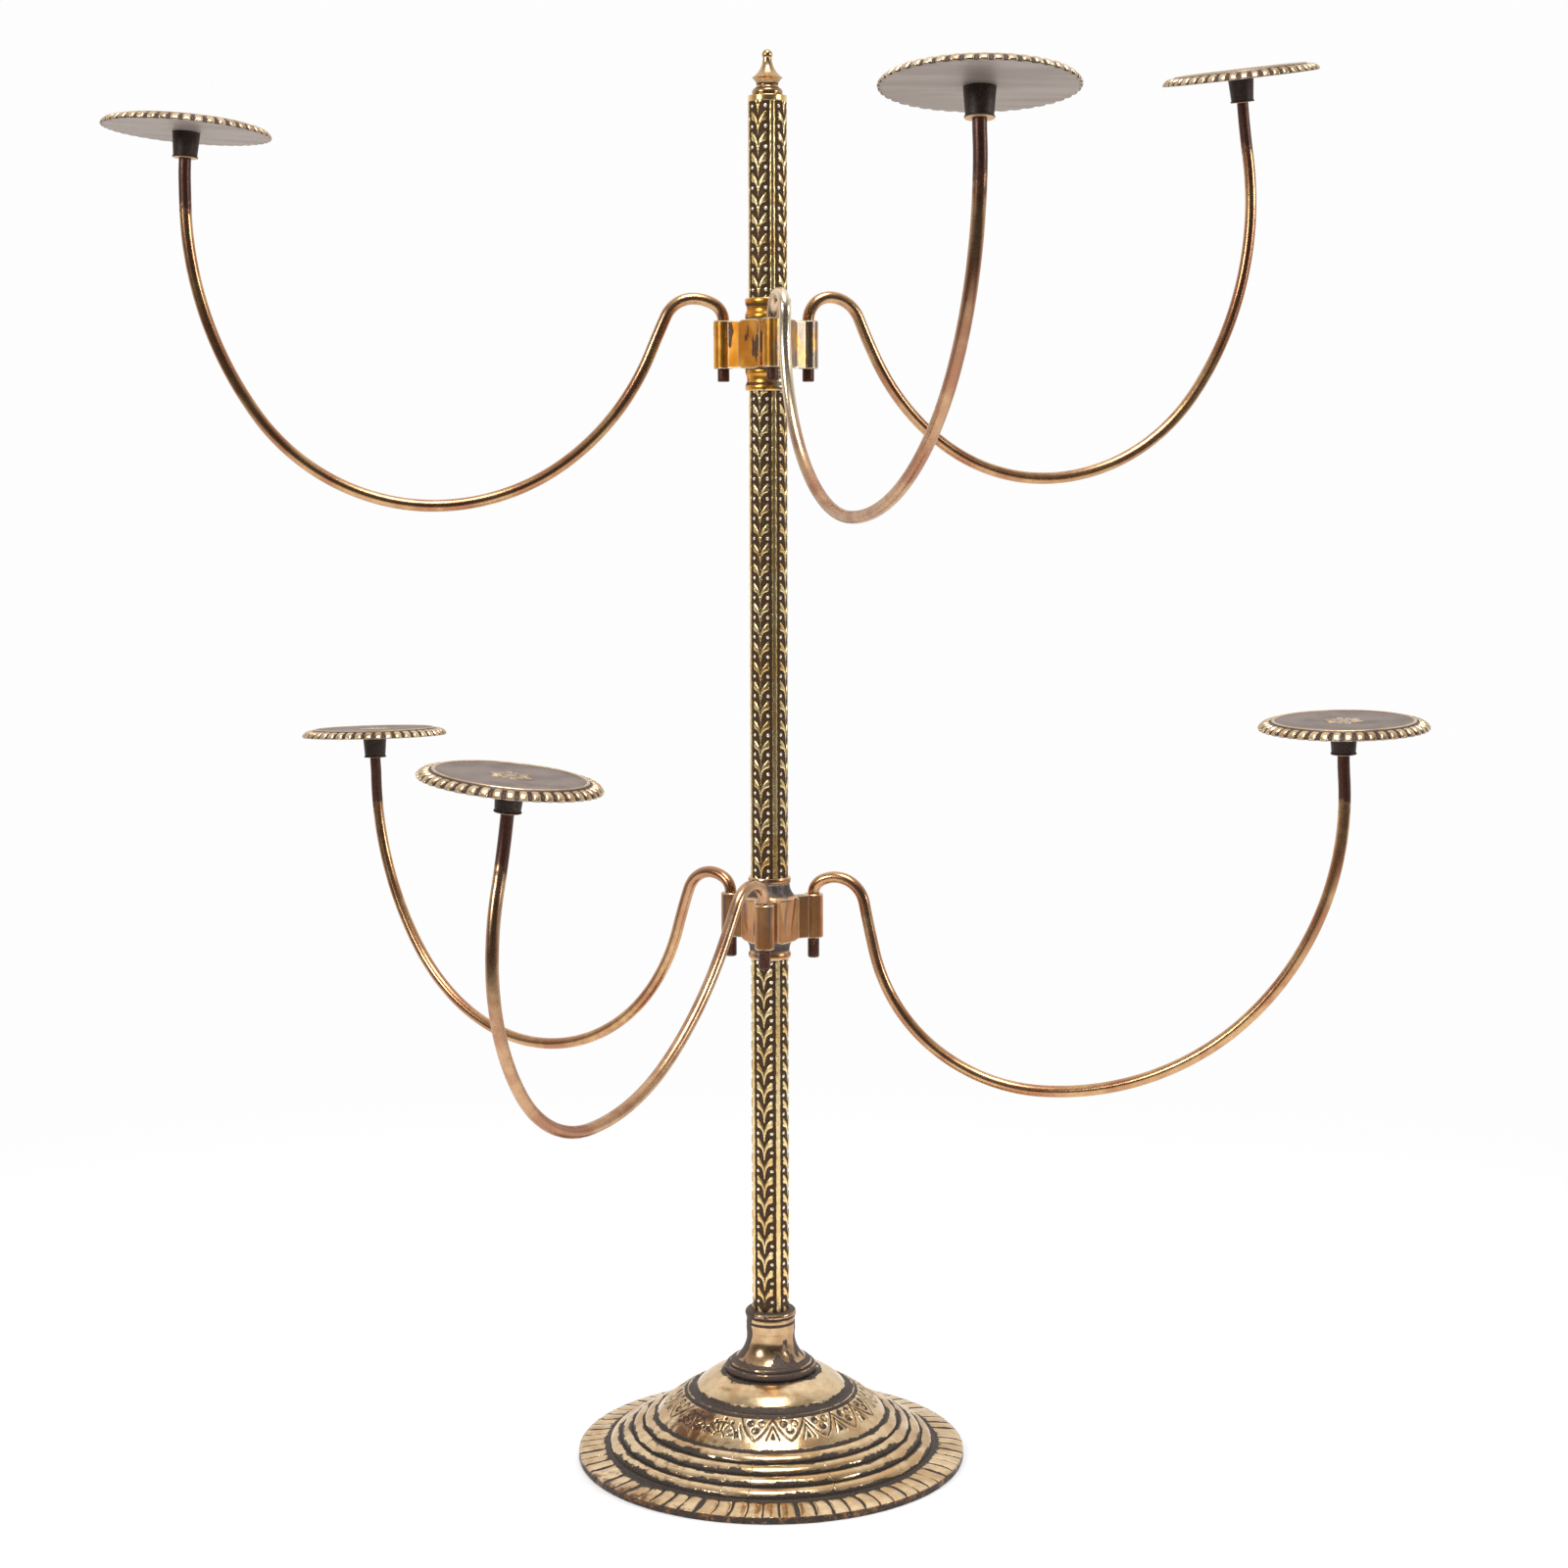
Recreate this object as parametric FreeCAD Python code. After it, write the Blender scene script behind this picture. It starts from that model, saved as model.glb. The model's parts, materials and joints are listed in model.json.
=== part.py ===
import FreeCAD, Part

import math
import os

# Six-arm brass candelabrum. A turned base, a neck, three lengths of tube, two socket hubs and a finial
# are stacked and drawn together by one long tie rod. Each hub carries three bent rods in plain upright
# sockets, and each rod carries a cup and a dish. Millimetres; origin under the base on the column's
# axis, +Z up.

# ---------------------------------------------------------------- driving dimensions
# Clearances, each taken on the radius
running_clearance = 0.05
seat_clearance = 0.05
thread_clearance = 0.05
passage_clearance = 0.6

# Base casting, from the outer edge inwards: (run inwards, rise)
base_edge_height = 4.1
fluted_band = (14.4, 2.1)
ring_step = (1.7, 0.6)
ring_count = 4
ring = (6.1, 3.7)
ring_bulge = 1.5
tongue_band = (16.9, 13.3)
tongue_band_bulge = 0.9
dome_groove = (5.6, 2.9)
dome_groove_depth = 1.0
dome = (13.1, 7.4)
dome_bulge = 1.3
base_seat_margin = 1.4
base_wall = 3.2
base_plate_thickness = 4.2

# Neck, a separate turning that stands on the base
neck_foot_radius = 23.9
neck_foot_height = 4.0
neck_foot_bulge = 1.0
neck_ring_step = 2.4
neck_ring_height = 2.2
neck_ring_bulge = 0.7
neck_flare_step = 1.9
neck_flare_height = 15.8
neck_flare_sag = 2.6
neck_waist_wall = 3.3
neck_collar_wall = 3.6
neck_collar_height = 3.4
neck_collar_sag = 0.3
neck_collar_taper = 1.1
neck_collar_bulge = 0.8
neck_waist_length = 4.4
neck_seat_depth = 8.0
neck_spigot_radius = 8.0
neck_spigot_length = 2.6

# Column tubes, with four raised strips along each
column_radius = 9.5
column_wall = 2.5
strip_count = 4
strip_width = 2.2
strip_height = 0.35
lower_column_shown = 187.2
middle_column_shown = 248.1
upper_column_shown = 99.6
lower_strip_turn = 26.0
middle_strip_turn = 18.0
upper_strip_turn = 15.0

# Socket hubs
hub_pin_circle_radius = 25.0
hub_flat_wall = 2.5
hub_side_wall = 4.6
hub_chamfer = 1.2
hub_seat_depth = 4.0
lobe_count = 3
lobe_wall = 1.95
lobe_chamfer = 0.4
web_thickness = 6.0
lower_hub_turn = 24.0
lower_hub_body_height = 23.0
lower_hub_foot_height = 8.7
lower_hub_head_height = 10.7
lower_hub_ring_wall = 1.5
lower_hub_waist_wall = 0.9
lower_hub_waist_sag = 0.6
lower_hub_skirt_wall = 2.3
lower_hub_skirt_height = 1.0
lower_hub_flare_wall = 4.4
lower_hub_flare_sag = 1.1
upper_hub_turn = 35.0
upper_hub_body_height = 24.2
upper_hub_foot_height = 11.2
upper_hub_head_height = 10.6
upper_hub_ring_wall = 2.1
upper_hub_waist_wall = 1.2
hub_ring_height = 3.2
hub_ring_bulge = 0.4

# Arm rods, cups and dishes
rod_radius = 3.0
lower_pin_projection = 10.5
upper_pin_projection = 6.5
pin_chamfer = 0.4
straight_enough = 1e-6
cup_height = 12.5
cup_foot_radius = 5.85
cup_top_radius = 6.75
cup_lip_step = 0.45
cup_lip_bulge = 0.2
cup_lip_height = 0.9
cup_rod_seat = 7.0
cup_web = 1.0
stud_radius = 2.0
stud_dish_seat = 2.4
dish_radius = 41.5
dish_floor_height = 3.8
dish_edge_height = 0.9
dish_edge_taper = 0.3
dish_rim_width = 6.4
dish_bead_width = 2.0
dish_bead_height = 0.75
dish_groove_depth = 0.3
dish_rim_bulge = 1.3

# Finial
finial_seat_width = 0.7
finial_spigot_length = 5.0
finial_ring_height = 3.2
finial_ring_bulge = 0.6
finial_neck_radius = 5.4
finial_neck_height = 2.4
finial_neck_sag = 0.5
finial_bulb_radius = 7.7
finial_bulb_height = 3.2
finial_bulb_sag = 0.3
finial_cone_height = 9.8
finial_cone_top_radius = 2.2
finial_cone_sag = 1.4
finial_ball_radius = 2.65
finial_thread_above_seat = 7.5

# Tie rod, washers and nut under the base
tie_rod_radius = 3.0
clamp_washer_radius = 14.0
clamp_washer_thickness = 1.6
lock_washer_radius = 5.6
lock_washer_thickness = 1.4
nut_across_flats = 10.0
nut_height = 5.0
nut_chamfer = 0.6
tie_rod_below_nut = 3.0
tie_rod_end_gap = 1.0

# Arms. Each rod was bent by hand. turn is its heading about the column, and the other values are
# places along it, out from its socket and up from the socket's mouth: the top of its crook, a place
# on the way down with the angle that it falls at, the bottom of its sweep, the place where it stands
# upright again, and the end that meets the cup. lean is how far the cup tips towards +X and +Y, in
# degrees.
arms = {
    "upper_left": dict(
        turn=189.0, crook=(15.5, 11.0), fall=(37.0, -15.5, 67.5), sweep=(147.0, -92.5),
        upright=(266.0, 55.0), end=(265.5, 77.5), lean=(4.0, 2.5),
    ),
    "upper_front": dict(
        turn=288.0, crook=(10.5, 11.5), fall=(20.5, -20.0, 80.0), sweep=(114.0, -95.5),
        upright=(269.0, 52.0), end=(268.0, 67.5), lean=(0.5, 7.5),
    ),
    "upper_right": dict(
        turn=18.0, crook=(11.5, 12.0), fall=(37.0, -19.5, 63.0), sweep=(131.0, -80.5),
        upright=(249.5, 62.0), end=(243.5, 117.0), lean=(-6.5, -7.0),
    ),
    "lower_left": dict(
        turn=142.0, crook=(13.0, 9.5), fall=(36.0, -22.5, 72.5), sweep=(142.5, -98.5),
        upright=(262.5, 43.0), end=(263.0, 53.0), lean=(-1.0, 3.0),
    ),
    "lower_front": dict(
        turn=239.0, crook=(12.0, 11.5), fall=(38.5, -13.5, 55.0), sweep=(157.0, -82.5),
        upright=(230.5, 5.0), end=(217.5, 72.5), lean=(6.5, -2.0),
    ),
    "lower_right": dict(
        turn=342.0, crook=(12.0, 9.0), fall=(33.0, -29.0, 76.5), sweep=(121.0, -96.5),
        upright=(271.0, 58.0), end=(270.0, 81.5), lean=(-1.5, -2.5),
    ),
}
# The hub and the lobe, counted anticlockwise from the hub's turn, that each rod stands in
arm_sockets = {
    "upper_right": ("upper", 0),
    "upper_left": ("upper", 1),
    "upper_front": ("upper", 2),
    "lower_right": ("lower", 0),
    "lower_left": ("lower", 1),
    "lower_front": ("lower", 2),
}

# ---------------------------------------------------------------- worked out from the above
base_steps = [fluted_band, ring_step] + [ring] * ring_count + [tongue_band, dome_groove, dome]
base_seat_radius = neck_foot_radius + base_seat_margin
base_radius = base_seat_radius + sum(run for run, rise in base_steps)
base_top = base_edge_height + sum(rise for run, rise in base_steps)
column_bore_radius = column_radius - column_wall
column_socket_radius = column_radius + seat_clearance
tie_rod_passage_radius = tie_rod_radius + passage_clearance
thread_bore_radius = tie_rod_radius + thread_clearance
neck_top = (
    base_top + neck_foot_height + neck_ring_height + neck_flare_height
    + neck_waist_length + 2 * neck_collar_height
)
lower_hub_bottom = neck_top + lower_column_shown
lower_hub_body_bottom = lower_hub_bottom + lower_hub_foot_height
lower_mouth = lower_hub_body_bottom + lower_hub_body_height
lower_hub_top = lower_mouth + lower_hub_head_height
upper_hub_bottom = lower_hub_top + middle_column_shown
upper_hub_body_bottom = upper_hub_bottom + upper_hub_foot_height
upper_mouth = upper_hub_body_bottom + upper_hub_body_height
upper_hub_top = upper_mouth + upper_hub_head_height
column_top = upper_hub_top + upper_column_shown
pin_bore_radius = rod_radius + running_clearance
lobe_radius = pin_bore_radius + lobe_wall

UP = FreeCAD.Vector(0, 0, 1)


# ---------------------------------------------------------------- shaping helpers
def turned(outline):
    """A solid turned about +Z from a closed outline of (radius, height) places. A place written as
    (middle radius, middle height, radius, height) is reached by an arc through its middle."""
    edges = []
    here = FreeCAD.Vector(outline[0][-2], 0, outline[0][-1])
    for place in outline[1:] + outline[:1]:
        there = FreeCAD.Vector(place[-2], 0, place[-1])
        if len(place) == 4:
            middle = FreeCAD.Vector(place[0], 0, place[1])
            edges.append(Part.Arc(here, middle, there).toShape())
        else:
            edges.append(Part.LineSegment(here, there).toShape())
        here = there
    return Part.Face(Part.Wire(edges)).revolve(FreeCAD.Vector(), UP, 360)


def bowed(start, end, rise):
    """The place end, reached by an arc that stands rise off its chord, to the right of the way."""
    run, climb = end[0] - start[0], end[1] - start[1]
    length = math.hypot(run, climb)
    middle = (start[0] + end[0]) / 2 + climb / length * rise
    return middle, (start[1] + end[1]) / 2 - run / length * rise, end[0], end[1]


def cylinder(radius, bottom, top, x=0.0, y=0.0):
    return Part.makeCylinder(radius, top - bottom, FreeCAD.Vector(x, y, bottom))


def around(angle, radius, height):
    turn = math.radians(angle)
    return FreeCAD.Vector(radius * math.cos(turn), radius * math.sin(turn), height)


def polygon_prism(sides, bottom, top):
    """A prism about +Z whose flat sides are given as (azimuth, distance from the axis), in order."""
    corners = []
    for (turn_a, far_a), (turn_b, far_b) in zip(sides, sides[1:] + sides[:1]):
        a, b = math.radians(turn_a), math.radians(turn_b)
        across = math.sin(b - a)
        x = (far_a * math.sin(b) - far_b * math.sin(a)) / across
        y = (far_b * math.cos(a) - far_a * math.cos(b)) / across
        corners.append(FreeCAD.Vector(x, y, bottom))
    face = Part.Face(Part.makePolygon(corners + corners[:1]))
    return face.extrude(UP * (top - bottom))


# ---------------------------------------------------------------- base
def base_casting():
    """A hollow turned casting: a flat fluted rim, four half-round rings, a sloping decorated band and
    a low dome whose flat top carries the neck."""
    radius, height = base_radius, base_edge_height
    corners = [(radius, height)]
    for run, rise in base_steps:
        radius, height = radius - run, height + rise
        corners.append((radius, height))
    bulges = [0, 0] + [ring_bulge] * ring_count + [tongue_band_bulge, -dome_groove_depth, dome_bulge]
    outline = [(base_radius, 0.0), corners[0]]
    for start, end, bulge in zip(corners, corners[1:], bulges):
        outline.append(bowed(start, end, bulge) if bulge else end)
    hole_radius = neck_spigot_radius + seat_clearance
    underside = base_top - base_plate_thickness
    outline += [(hole_radius, base_top), (hole_radius, underside)]
    # The hollow follows the slopes outside it, from the plate down to the inner edge of the rim
    slopes = [corners[-1], corners[-3], corners[-4], corners[2]]
    hollow = [(slopes[0][0] - base_wall, underside)]
    for (r0, z0), (r1, z1), (r2, z2) in zip(slopes, slopes[1:], slopes[2:]):
        run, drop = r2 - r0, z0 - z2
        length = math.hypot(run, drop)
        hollow.append((r1 - base_wall * drop / length, z1 - base_wall * run / length))
    rim_inner_radius = slopes[-1][0] - base_wall
    hollow += [(rim_inner_radius, base_edge_height / 2), (rim_inner_radius, 0.0)]
    return turned(outline + hollow)


def socket_neck():
    """A stepped foot, two rings, a trumpet flare and a collar bored for the column."""
    waist = column_radius + neck_waist_wall
    collar = column_radius + neck_collar_wall
    foot_edge = neck_foot_radius - neck_foot_bulge
    foot_top = base_top + neck_foot_height
    ring_radius = neck_foot_radius - neck_ring_step
    ring_top = foot_top + neck_ring_height
    flare_radius = ring_radius - neck_flare_step
    flare_top = ring_top + neck_flare_height
    collar_bottom = flare_top + neck_waist_length
    collar_middle = collar_bottom + neck_collar_height
    seat = neck_top - neck_seat_depth
    outline = [
        (neck_spigot_radius, base_top - neck_spigot_length),
        (neck_spigot_radius, base_top),
        (foot_edge, base_top),
        bowed((foot_edge, base_top), (foot_edge, foot_top), neck_foot_bulge),
        (ring_radius, foot_top),
        bowed((ring_radius, foot_top), (flare_radius, ring_top), neck_ring_bulge),
        bowed((flare_radius, ring_top), (waist, flare_top), -neck_flare_sag),
        (waist, collar_bottom),
        bowed((waist, collar_bottom), (collar, collar_middle), -neck_collar_sag),
        bowed((collar, collar_middle), (collar - neck_collar_taper, neck_top), neck_collar_bulge),
        (column_socket_radius, neck_top),
        (column_socket_radius, seat),
        (tie_rod_passage_radius, seat),
        (tie_rod_passage_radius, base_top - neck_spigot_length),
    ]
    return turned(outline)


# ---------------------------------------------------------------- column
def column_tube(bottom, shown_bottom, shown_top, top, turn):
    """A tube with raised strips along the length that shows between its two seats."""
    tube = cylinder(column_radius, bottom, top)
    for k in range(strip_count):
        strip = Part.makeBox(
            column_radius + strip_height, strip_width, shown_top - shown_bottom,
            FreeCAD.Vector(0, -strip_width / 2, shown_bottom),
        )
        strip.rotate(FreeCAD.Vector(), UP, turn - 90 + k * 360 / strip_count)
        tube = tube.fuse(strip)
    return tube.cut(cylinder(column_bore_radius, bottom, top)).removeSplitter()


# ---------------------------------------------------------------- hubs
def lobe_centre(hub, lobe):
    turn = upper_hub_turn if hub == "upper" else lower_hub_turn
    mouth = upper_mouth if hub == "upper" else lower_mouth
    return around(turn + lobe * 360 / lobe_count, hub_pin_circle_radius, mouth)


def hub_body(turn, bottom, top):
    """Six-sided body with three wide flats and three narrow ones, its ends turned to a chamfer, with
    a web and a round lobe standing out from each narrow side."""
    flat = column_radius + hub_flat_wall
    side = column_radius + hub_side_wall
    step = 180 / lobe_count
    sides = []
    for k in range(lobe_count):
        sides += [(turn + 2 * k * step, side), (turn + (2 * k + 1) * step, flat)]
    prism = polygon_prism(sides, bottom, top)
    corner = side / math.cos(math.radians(step)) + flat
    end_radius = (flat + side) / 2
    barrel = turned([
        (0.0, bottom),
        (end_radius, bottom),
        (end_radius + 2 * hub_chamfer, bottom + hub_chamfer),
        (corner, bottom + 2 * hub_chamfer),
        (corner, top - 2 * hub_chamfer),
        (end_radius + 2 * hub_chamfer, top - hub_chamfer),
        (end_radius, top),
        (0.0, top),
    ])
    body = prism.common(barrel)
    for k in range(lobe_count):
        centre = around(turn + 2 * k * step, hub_pin_circle_radius, 0)
        web = Part.makeBox(
            hub_pin_circle_radius, web_thickness, top - bottom - 2 * lobe_chamfer,
            FreeCAD.Vector(0, -web_thickness / 2, bottom + lobe_chamfer),
        )
        web.rotate(FreeCAD.Vector(), UP, turn + 2 * k * step)
        lobe = turned([
            (0.0, bottom),
            (lobe_radius - lobe_chamfer, bottom),
            (lobe_radius, bottom + lobe_chamfer),
            (lobe_radius, top - lobe_chamfer),
            (lobe_radius - lobe_chamfer, top),
            (0.0, top),
        ])
        lobe.translate(centre)
        body = body.fuse([web, lobe])
    for k in range(lobe_count):
        centre = around(turn + 2 * k * step, hub_pin_circle_radius, 0)
        body = body.cut(cylinder(pin_bore_radius, bottom, top, centre.x, centre.y))
    return body.removeSplitter()


def bored_for_column(hub, bottom, top):
    """Seats for the tubes above and below, and the passage for the tie rod between them."""
    for cutter in (
        cylinder(column_socket_radius, bottom, bottom + hub_seat_depth),
        cylinder(column_socket_radius, top - hub_seat_depth, top),
        cylinder(tie_rod_passage_radius, bottom, top),
    ):
        hub = hub.cut(cutter)
    return hub.removeSplitter()


def lower_hub():
    """Below the body a waist and one ring, above it a hollow flare up to one ring."""
    ring_edge = column_radius + lower_hub_ring_wall - hub_ring_bulge
    waist = column_radius + lower_hub_waist_wall
    skirt = column_radius + lower_hub_skirt_wall
    flare = column_radius + lower_hub_flare_wall
    bottom, body_bottom = lower_hub_bottom, lower_hub_body_bottom
    top, body_top = lower_hub_top, lower_mouth
    ring_top = bottom + hub_ring_height
    head_ring = top - hub_ring_height
    ends = turned([
        (0.0, bottom),
        (ring_edge, bottom),
        bowed((ring_edge, bottom), (ring_edge, ring_top), hub_ring_bulge),
        (waist, ring_top),
        bowed((waist, ring_top), (skirt, body_bottom), -lower_hub_waist_sag),
        (skirt, body_bottom + lower_hub_skirt_height),
        (flare, body_top - lower_hub_skirt_height),
        (flare, body_top),
        bowed((flare, body_top), (waist, head_ring), -lower_hub_flare_sag),
        (ring_edge, head_ring),
        bowed((ring_edge, head_ring), (ring_edge, top), hub_ring_bulge),
        (0.0, top),
    ])
    hub = hub_body(lower_hub_turn, body_bottom, body_top).fuse(ends)
    return bored_for_column(hub, bottom, top)


def upper_hub():
    """A bobbin of two rings and a waist above the body and another below it."""
    ring_edge = column_radius + upper_hub_ring_wall - hub_ring_bulge
    waist = column_radius + upper_hub_waist_wall
    outline = [(0.0, upper_hub_bottom)]
    for low, high in ((upper_hub_bottom, upper_hub_body_bottom), (upper_mouth, upper_hub_top)):
        ring_top = low + hub_ring_height
        next_ring = high - hub_ring_height
        outline += [
            (ring_edge, low),
            bowed((ring_edge, low), (ring_edge, ring_top), hub_ring_bulge),
            bowed((ring_edge, ring_top), (ring_edge, next_ring), waist - ring_edge),
            bowed((ring_edge, next_ring), (ring_edge, high), hub_ring_bulge),
        ]
    outline.append((0.0, upper_hub_top))
    hub = hub_body(upper_hub_turn, upper_hub_body_bottom, upper_mouth).fuse(turned(outline))
    return bored_for_column(hub, upper_hub_bottom, upper_hub_top)


# ---------------------------------------------------------------- finial and fasteners
def finial():
    """A ring that sits on the tube's end, a neck, a drop-shaped bulb and a ball, tapped from below."""
    seat_radius = column_bore_radius + finial_seat_width
    spigot_radius = column_bore_radius - seat_clearance
    bottom = column_top - finial_spigot_length
    ring_top = column_top + finial_ring_height
    neck = ring_top + finial_neck_height
    bulb = neck + finial_bulb_height
    cone_top = bulb + finial_cone_height
    ball_middle = cone_top + math.sqrt(finial_ball_radius**2 - finial_cone_top_radius**2)
    thread_top = column_top + finial_thread_above_seat
    ring_edge = seat_radius - finial_ring_bulge
    return turned([
        (thread_bore_radius, bottom),
        (spigot_radius, bottom),
        (spigot_radius, column_top),
        (ring_edge, column_top),
        bowed((ring_edge, column_top), (ring_edge, ring_top), finial_ring_bulge),
        bowed((ring_edge, ring_top), (finial_neck_radius, neck), -finial_neck_sag),
        bowed((finial_neck_radius, neck), (finial_bulb_radius, bulb), -finial_bulb_sag),
        bowed((finial_bulb_radius, bulb), (finial_cone_top_radius, cone_top), -finial_cone_sag),
        (finial_ball_radius, ball_middle, 0.0, ball_middle + finial_ball_radius),
        (0.0, thread_top),
        (thread_bore_radius, thread_top),
    ])


washer_top = base_top - base_plate_thickness
lock_washer_top = washer_top - clamp_washer_thickness
nut_top = lock_washer_top - lock_washer_thickness
nut_bottom = nut_top - nut_height


def base_nut():
    turns = [(60 * k, nut_across_flats / 2) for k in range(6)]
    corner = nut_across_flats / 2 / math.cos(math.radians(30))
    barrel = turned([
        (thread_bore_radius, nut_bottom),
        (corner - nut_chamfer, nut_bottom),
        (corner, nut_bottom + nut_chamfer),
        (corner, nut_top - nut_chamfer),
        (corner - nut_chamfer, nut_top),
        (thread_bore_radius, nut_top),
    ])
    return polygon_prism(turns, nut_bottom, nut_top).common(barrel)


def washer(radius, bottom, top):
    return cylinder(radius, bottom, top).cut(cylinder(thread_bore_radius, bottom, top))


# ---------------------------------------------------------------- arms
def meeting_place(start, start_way, end, end_way):
    """Where two arcs of equal tangent length meet, one leaving start along start_way and one coming
    to end along end_way."""
    gap = end - start
    both = start_way + end_way
    a = 2 * (1 - start_way.dot(end_way))
    b = 2 * gap.dot(both)
    reach = 2 * gap.dot(gap) / (b + math.sqrt(b * b + 4 * a * gap.dot(gap)))
    return ((start + start_way * reach) + (end - end_way * reach)) * 0.5


def arc_from(start, way, end):
    """The arc that leaves start along way and ends at end, or a line where way points at end."""
    along = (end - start).normalize()
    sideways = way - along * way.dot(along)
    if sideways.Length < straight_enough:
        return Part.LineSegment(start, end).toShape()
    half_turn = math.atan2(sideways.Length, way.dot(along))
    lift = start.distanceToPoint(end) / 2 * math.tan(half_turn / 2)
    middle = (start + end) * 0.5 + sideways.normalize() * lift
    return Part.Arc(start, middle, end).toShape()


def cup_axis(arm):
    lean_x, lean_y = (math.sin(math.radians(lean)) for lean in arm["lean"])
    return FreeCAD.Vector(lean_x, lean_y, math.sqrt(1 - lean_x**2 - lean_y**2))


def arm_end(name):
    """The place where the rod meets the underside of its cup."""
    arm = arms[name]
    return lobe_centre(*arm_sockets[name]) + around(arm["turn"], *arm["end"])


def arm_rod(name):
    """One bent round rod: its straight pin in the hub, two pairs of arcs over the crook, two pairs
    through the sweep, one up to the cup, and a short straight end inside the cup."""
    arm = arms[name]
    hub = arm_sockets[name][0]
    mouth = lobe_centre(*arm_sockets[name])
    body_height = upper_hub_body_height if hub == "upper" else lower_hub_body_height
    projection = upper_pin_projection if hub == "upper" else lower_pin_projection
    outward = around(arm["turn"], 1, 0)
    fall = math.radians(arm["fall"][2])
    stations = [
        (mouth, UP),
        (mouth + around(arm["turn"], *arm["crook"]), outward),
        (
            mouth + around(arm["turn"], *arm["fall"][:2]),
            outward * math.cos(fall) - UP * math.sin(fall),
        ),
        (mouth + around(arm["turn"], *arm["sweep"]), outward),
        (mouth + around(arm["turn"], *arm["upright"]), UP),
        (arm_end(name), cup_axis(arm)),
    ]
    pin_bottom = mouth - UP * (body_height + projection)
    edges = [Part.LineSegment(pin_bottom, mouth).toShape()]
    for (start, start_way), (end, end_way) in zip(stations, stations[1:]):
        joint = meeting_place(start, start_way, end, end_way)
        edges.append(arc_from(start, start_way, joint))
        edges.append(arc_from(end, end_way * -1, joint))
    inside_cup = arm_end(name) + cup_axis(arm) * cup_rod_seat
    edges.append(Part.LineSegment(arm_end(name), inside_cup).toShape())
    section = Part.Wire(Part.makeCircle(rod_radius, pin_bottom, UP))
    rod = Part.Wire(edges).makePipeShell([section], True, False)
    pin_end = turned([
        (rod_radius - pin_chamfer, 0.0),
        (rod_radius, pin_chamfer),
        (2 * rod_radius, pin_chamfer),
        (2 * rod_radius, 0.0),
    ])
    pin_end.translate(pin_bottom)
    return rod.cut(pin_end)


def at_cup(shape, name):
    """Stands a shape made about +Z from the origin on the end of an arm, along its cup's axis."""
    turn = FreeCAD.Rotation(UP, cup_axis(arms[name]))
    placed = shape.copy()
    placed.transformShape(FreeCAD.Placement(arm_end(name), turn).toMatrix())
    return placed


cup_stud_depth = cup_height - cup_rod_seat - cup_web
cup_rod_bore = rod_radius + seat_clearance
stud_bore = stud_radius + thread_clearance


def cup():
    """A tapered cup with a small lip round its foot, bored for the rod and tapped for the stud."""
    lip_edge = cup_foot_radius + cup_lip_step - cup_lip_bulge
    return turned([
        (cup_rod_bore, 0.0),
        (lip_edge, 0.0),
        bowed((lip_edge, 0.0), (lip_edge, cup_lip_height), cup_lip_bulge),
        (cup_foot_radius, cup_lip_height),
        (cup_top_radius, cup_height),
        (stud_bore, cup_height),
        (stud_bore, cup_height - cup_stud_depth),
        (0.0, cup_height - cup_stud_depth),
        (0.0, cup_rod_seat),
        (cup_rod_bore, cup_rod_seat),
    ])


def dish():
    """A flat pan with a raised bead round it and a rounded rim that falls to a thin edge. The flat
    underside is tapped for the stud."""
    bead_outer = dish_radius - dish_rim_width
    bead_inner = bead_outer - dish_bead_width
    floor = cup_height + dish_floor_height
    edge = cup_height + dish_edge_height
    groove = (bead_outer, floor - dish_groove_depth)
    hole_top = cup_height + stud_dish_seat
    return turned([
        (stud_bore, cup_height),
        (dish_radius - dish_edge_taper, cup_height),
        (dish_radius, edge),
        bowed((dish_radius, edge), groove, dish_rim_bulge),
        ((bead_outer + bead_inner) / 2, floor + dish_bead_height, bead_inner, floor),
        (0.0, floor),
        (0.0, hole_top),
        (stud_bore, hole_top),
    ])


def stud():
    return cylinder(stud_radius, cup_height - cup_stud_depth, cup_height + stud_dish_seat)


# ---------------------------------------------------------------- every piece
def pieces():
    lower_seat = neck_top - neck_seat_depth
    made = {
        "base_casting": base_casting(),
        "socket_neck": socket_neck(),
        "column_lower": column_tube(
            lower_seat, neck_top, lower_hub_bottom, lower_hub_bottom + hub_seat_depth,
            lower_strip_turn,
        ),
        "hub_lower": lower_hub(),
        "column_middle": column_tube(
            lower_hub_top - hub_seat_depth, lower_hub_top, upper_hub_bottom,
            upper_hub_bottom + hub_seat_depth, middle_strip_turn,
        ),
        "hub_upper": upper_hub(),
        "column_upper": column_tube(
            upper_hub_top - hub_seat_depth, upper_hub_top, column_top, column_top,
            upper_strip_turn,
        ),
        "finial": finial(),
        "tie_rod": cylinder(
            tie_rod_radius, nut_bottom - tie_rod_below_nut,
            column_top + finial_thread_above_seat - tie_rod_end_gap,
        ),
        "clamp_washer": washer(clamp_washer_radius, lock_washer_top, washer_top),
        "lock_washer": washer(lock_washer_radius, nut_top, lock_washer_top),
        "base_nut": base_nut(),
    }
    for name in arms:
        made[name + "_arm"] = arm_rod(name)
        made[name + "_cup"] = at_cup(cup(), name)
        made[name + "_dish"] = at_cup(dish(), name)
        made[name + "_stud"] = at_cup(stud(), name)
    return made


os.makedirs("parts", exist_ok=True)
for node, shape in pieces().items():
    shape.exportStep("parts/" + node + ".step")
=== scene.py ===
import json
import math

import bpy
import numpy as np
from mathutils import Matrix, Vector


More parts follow.
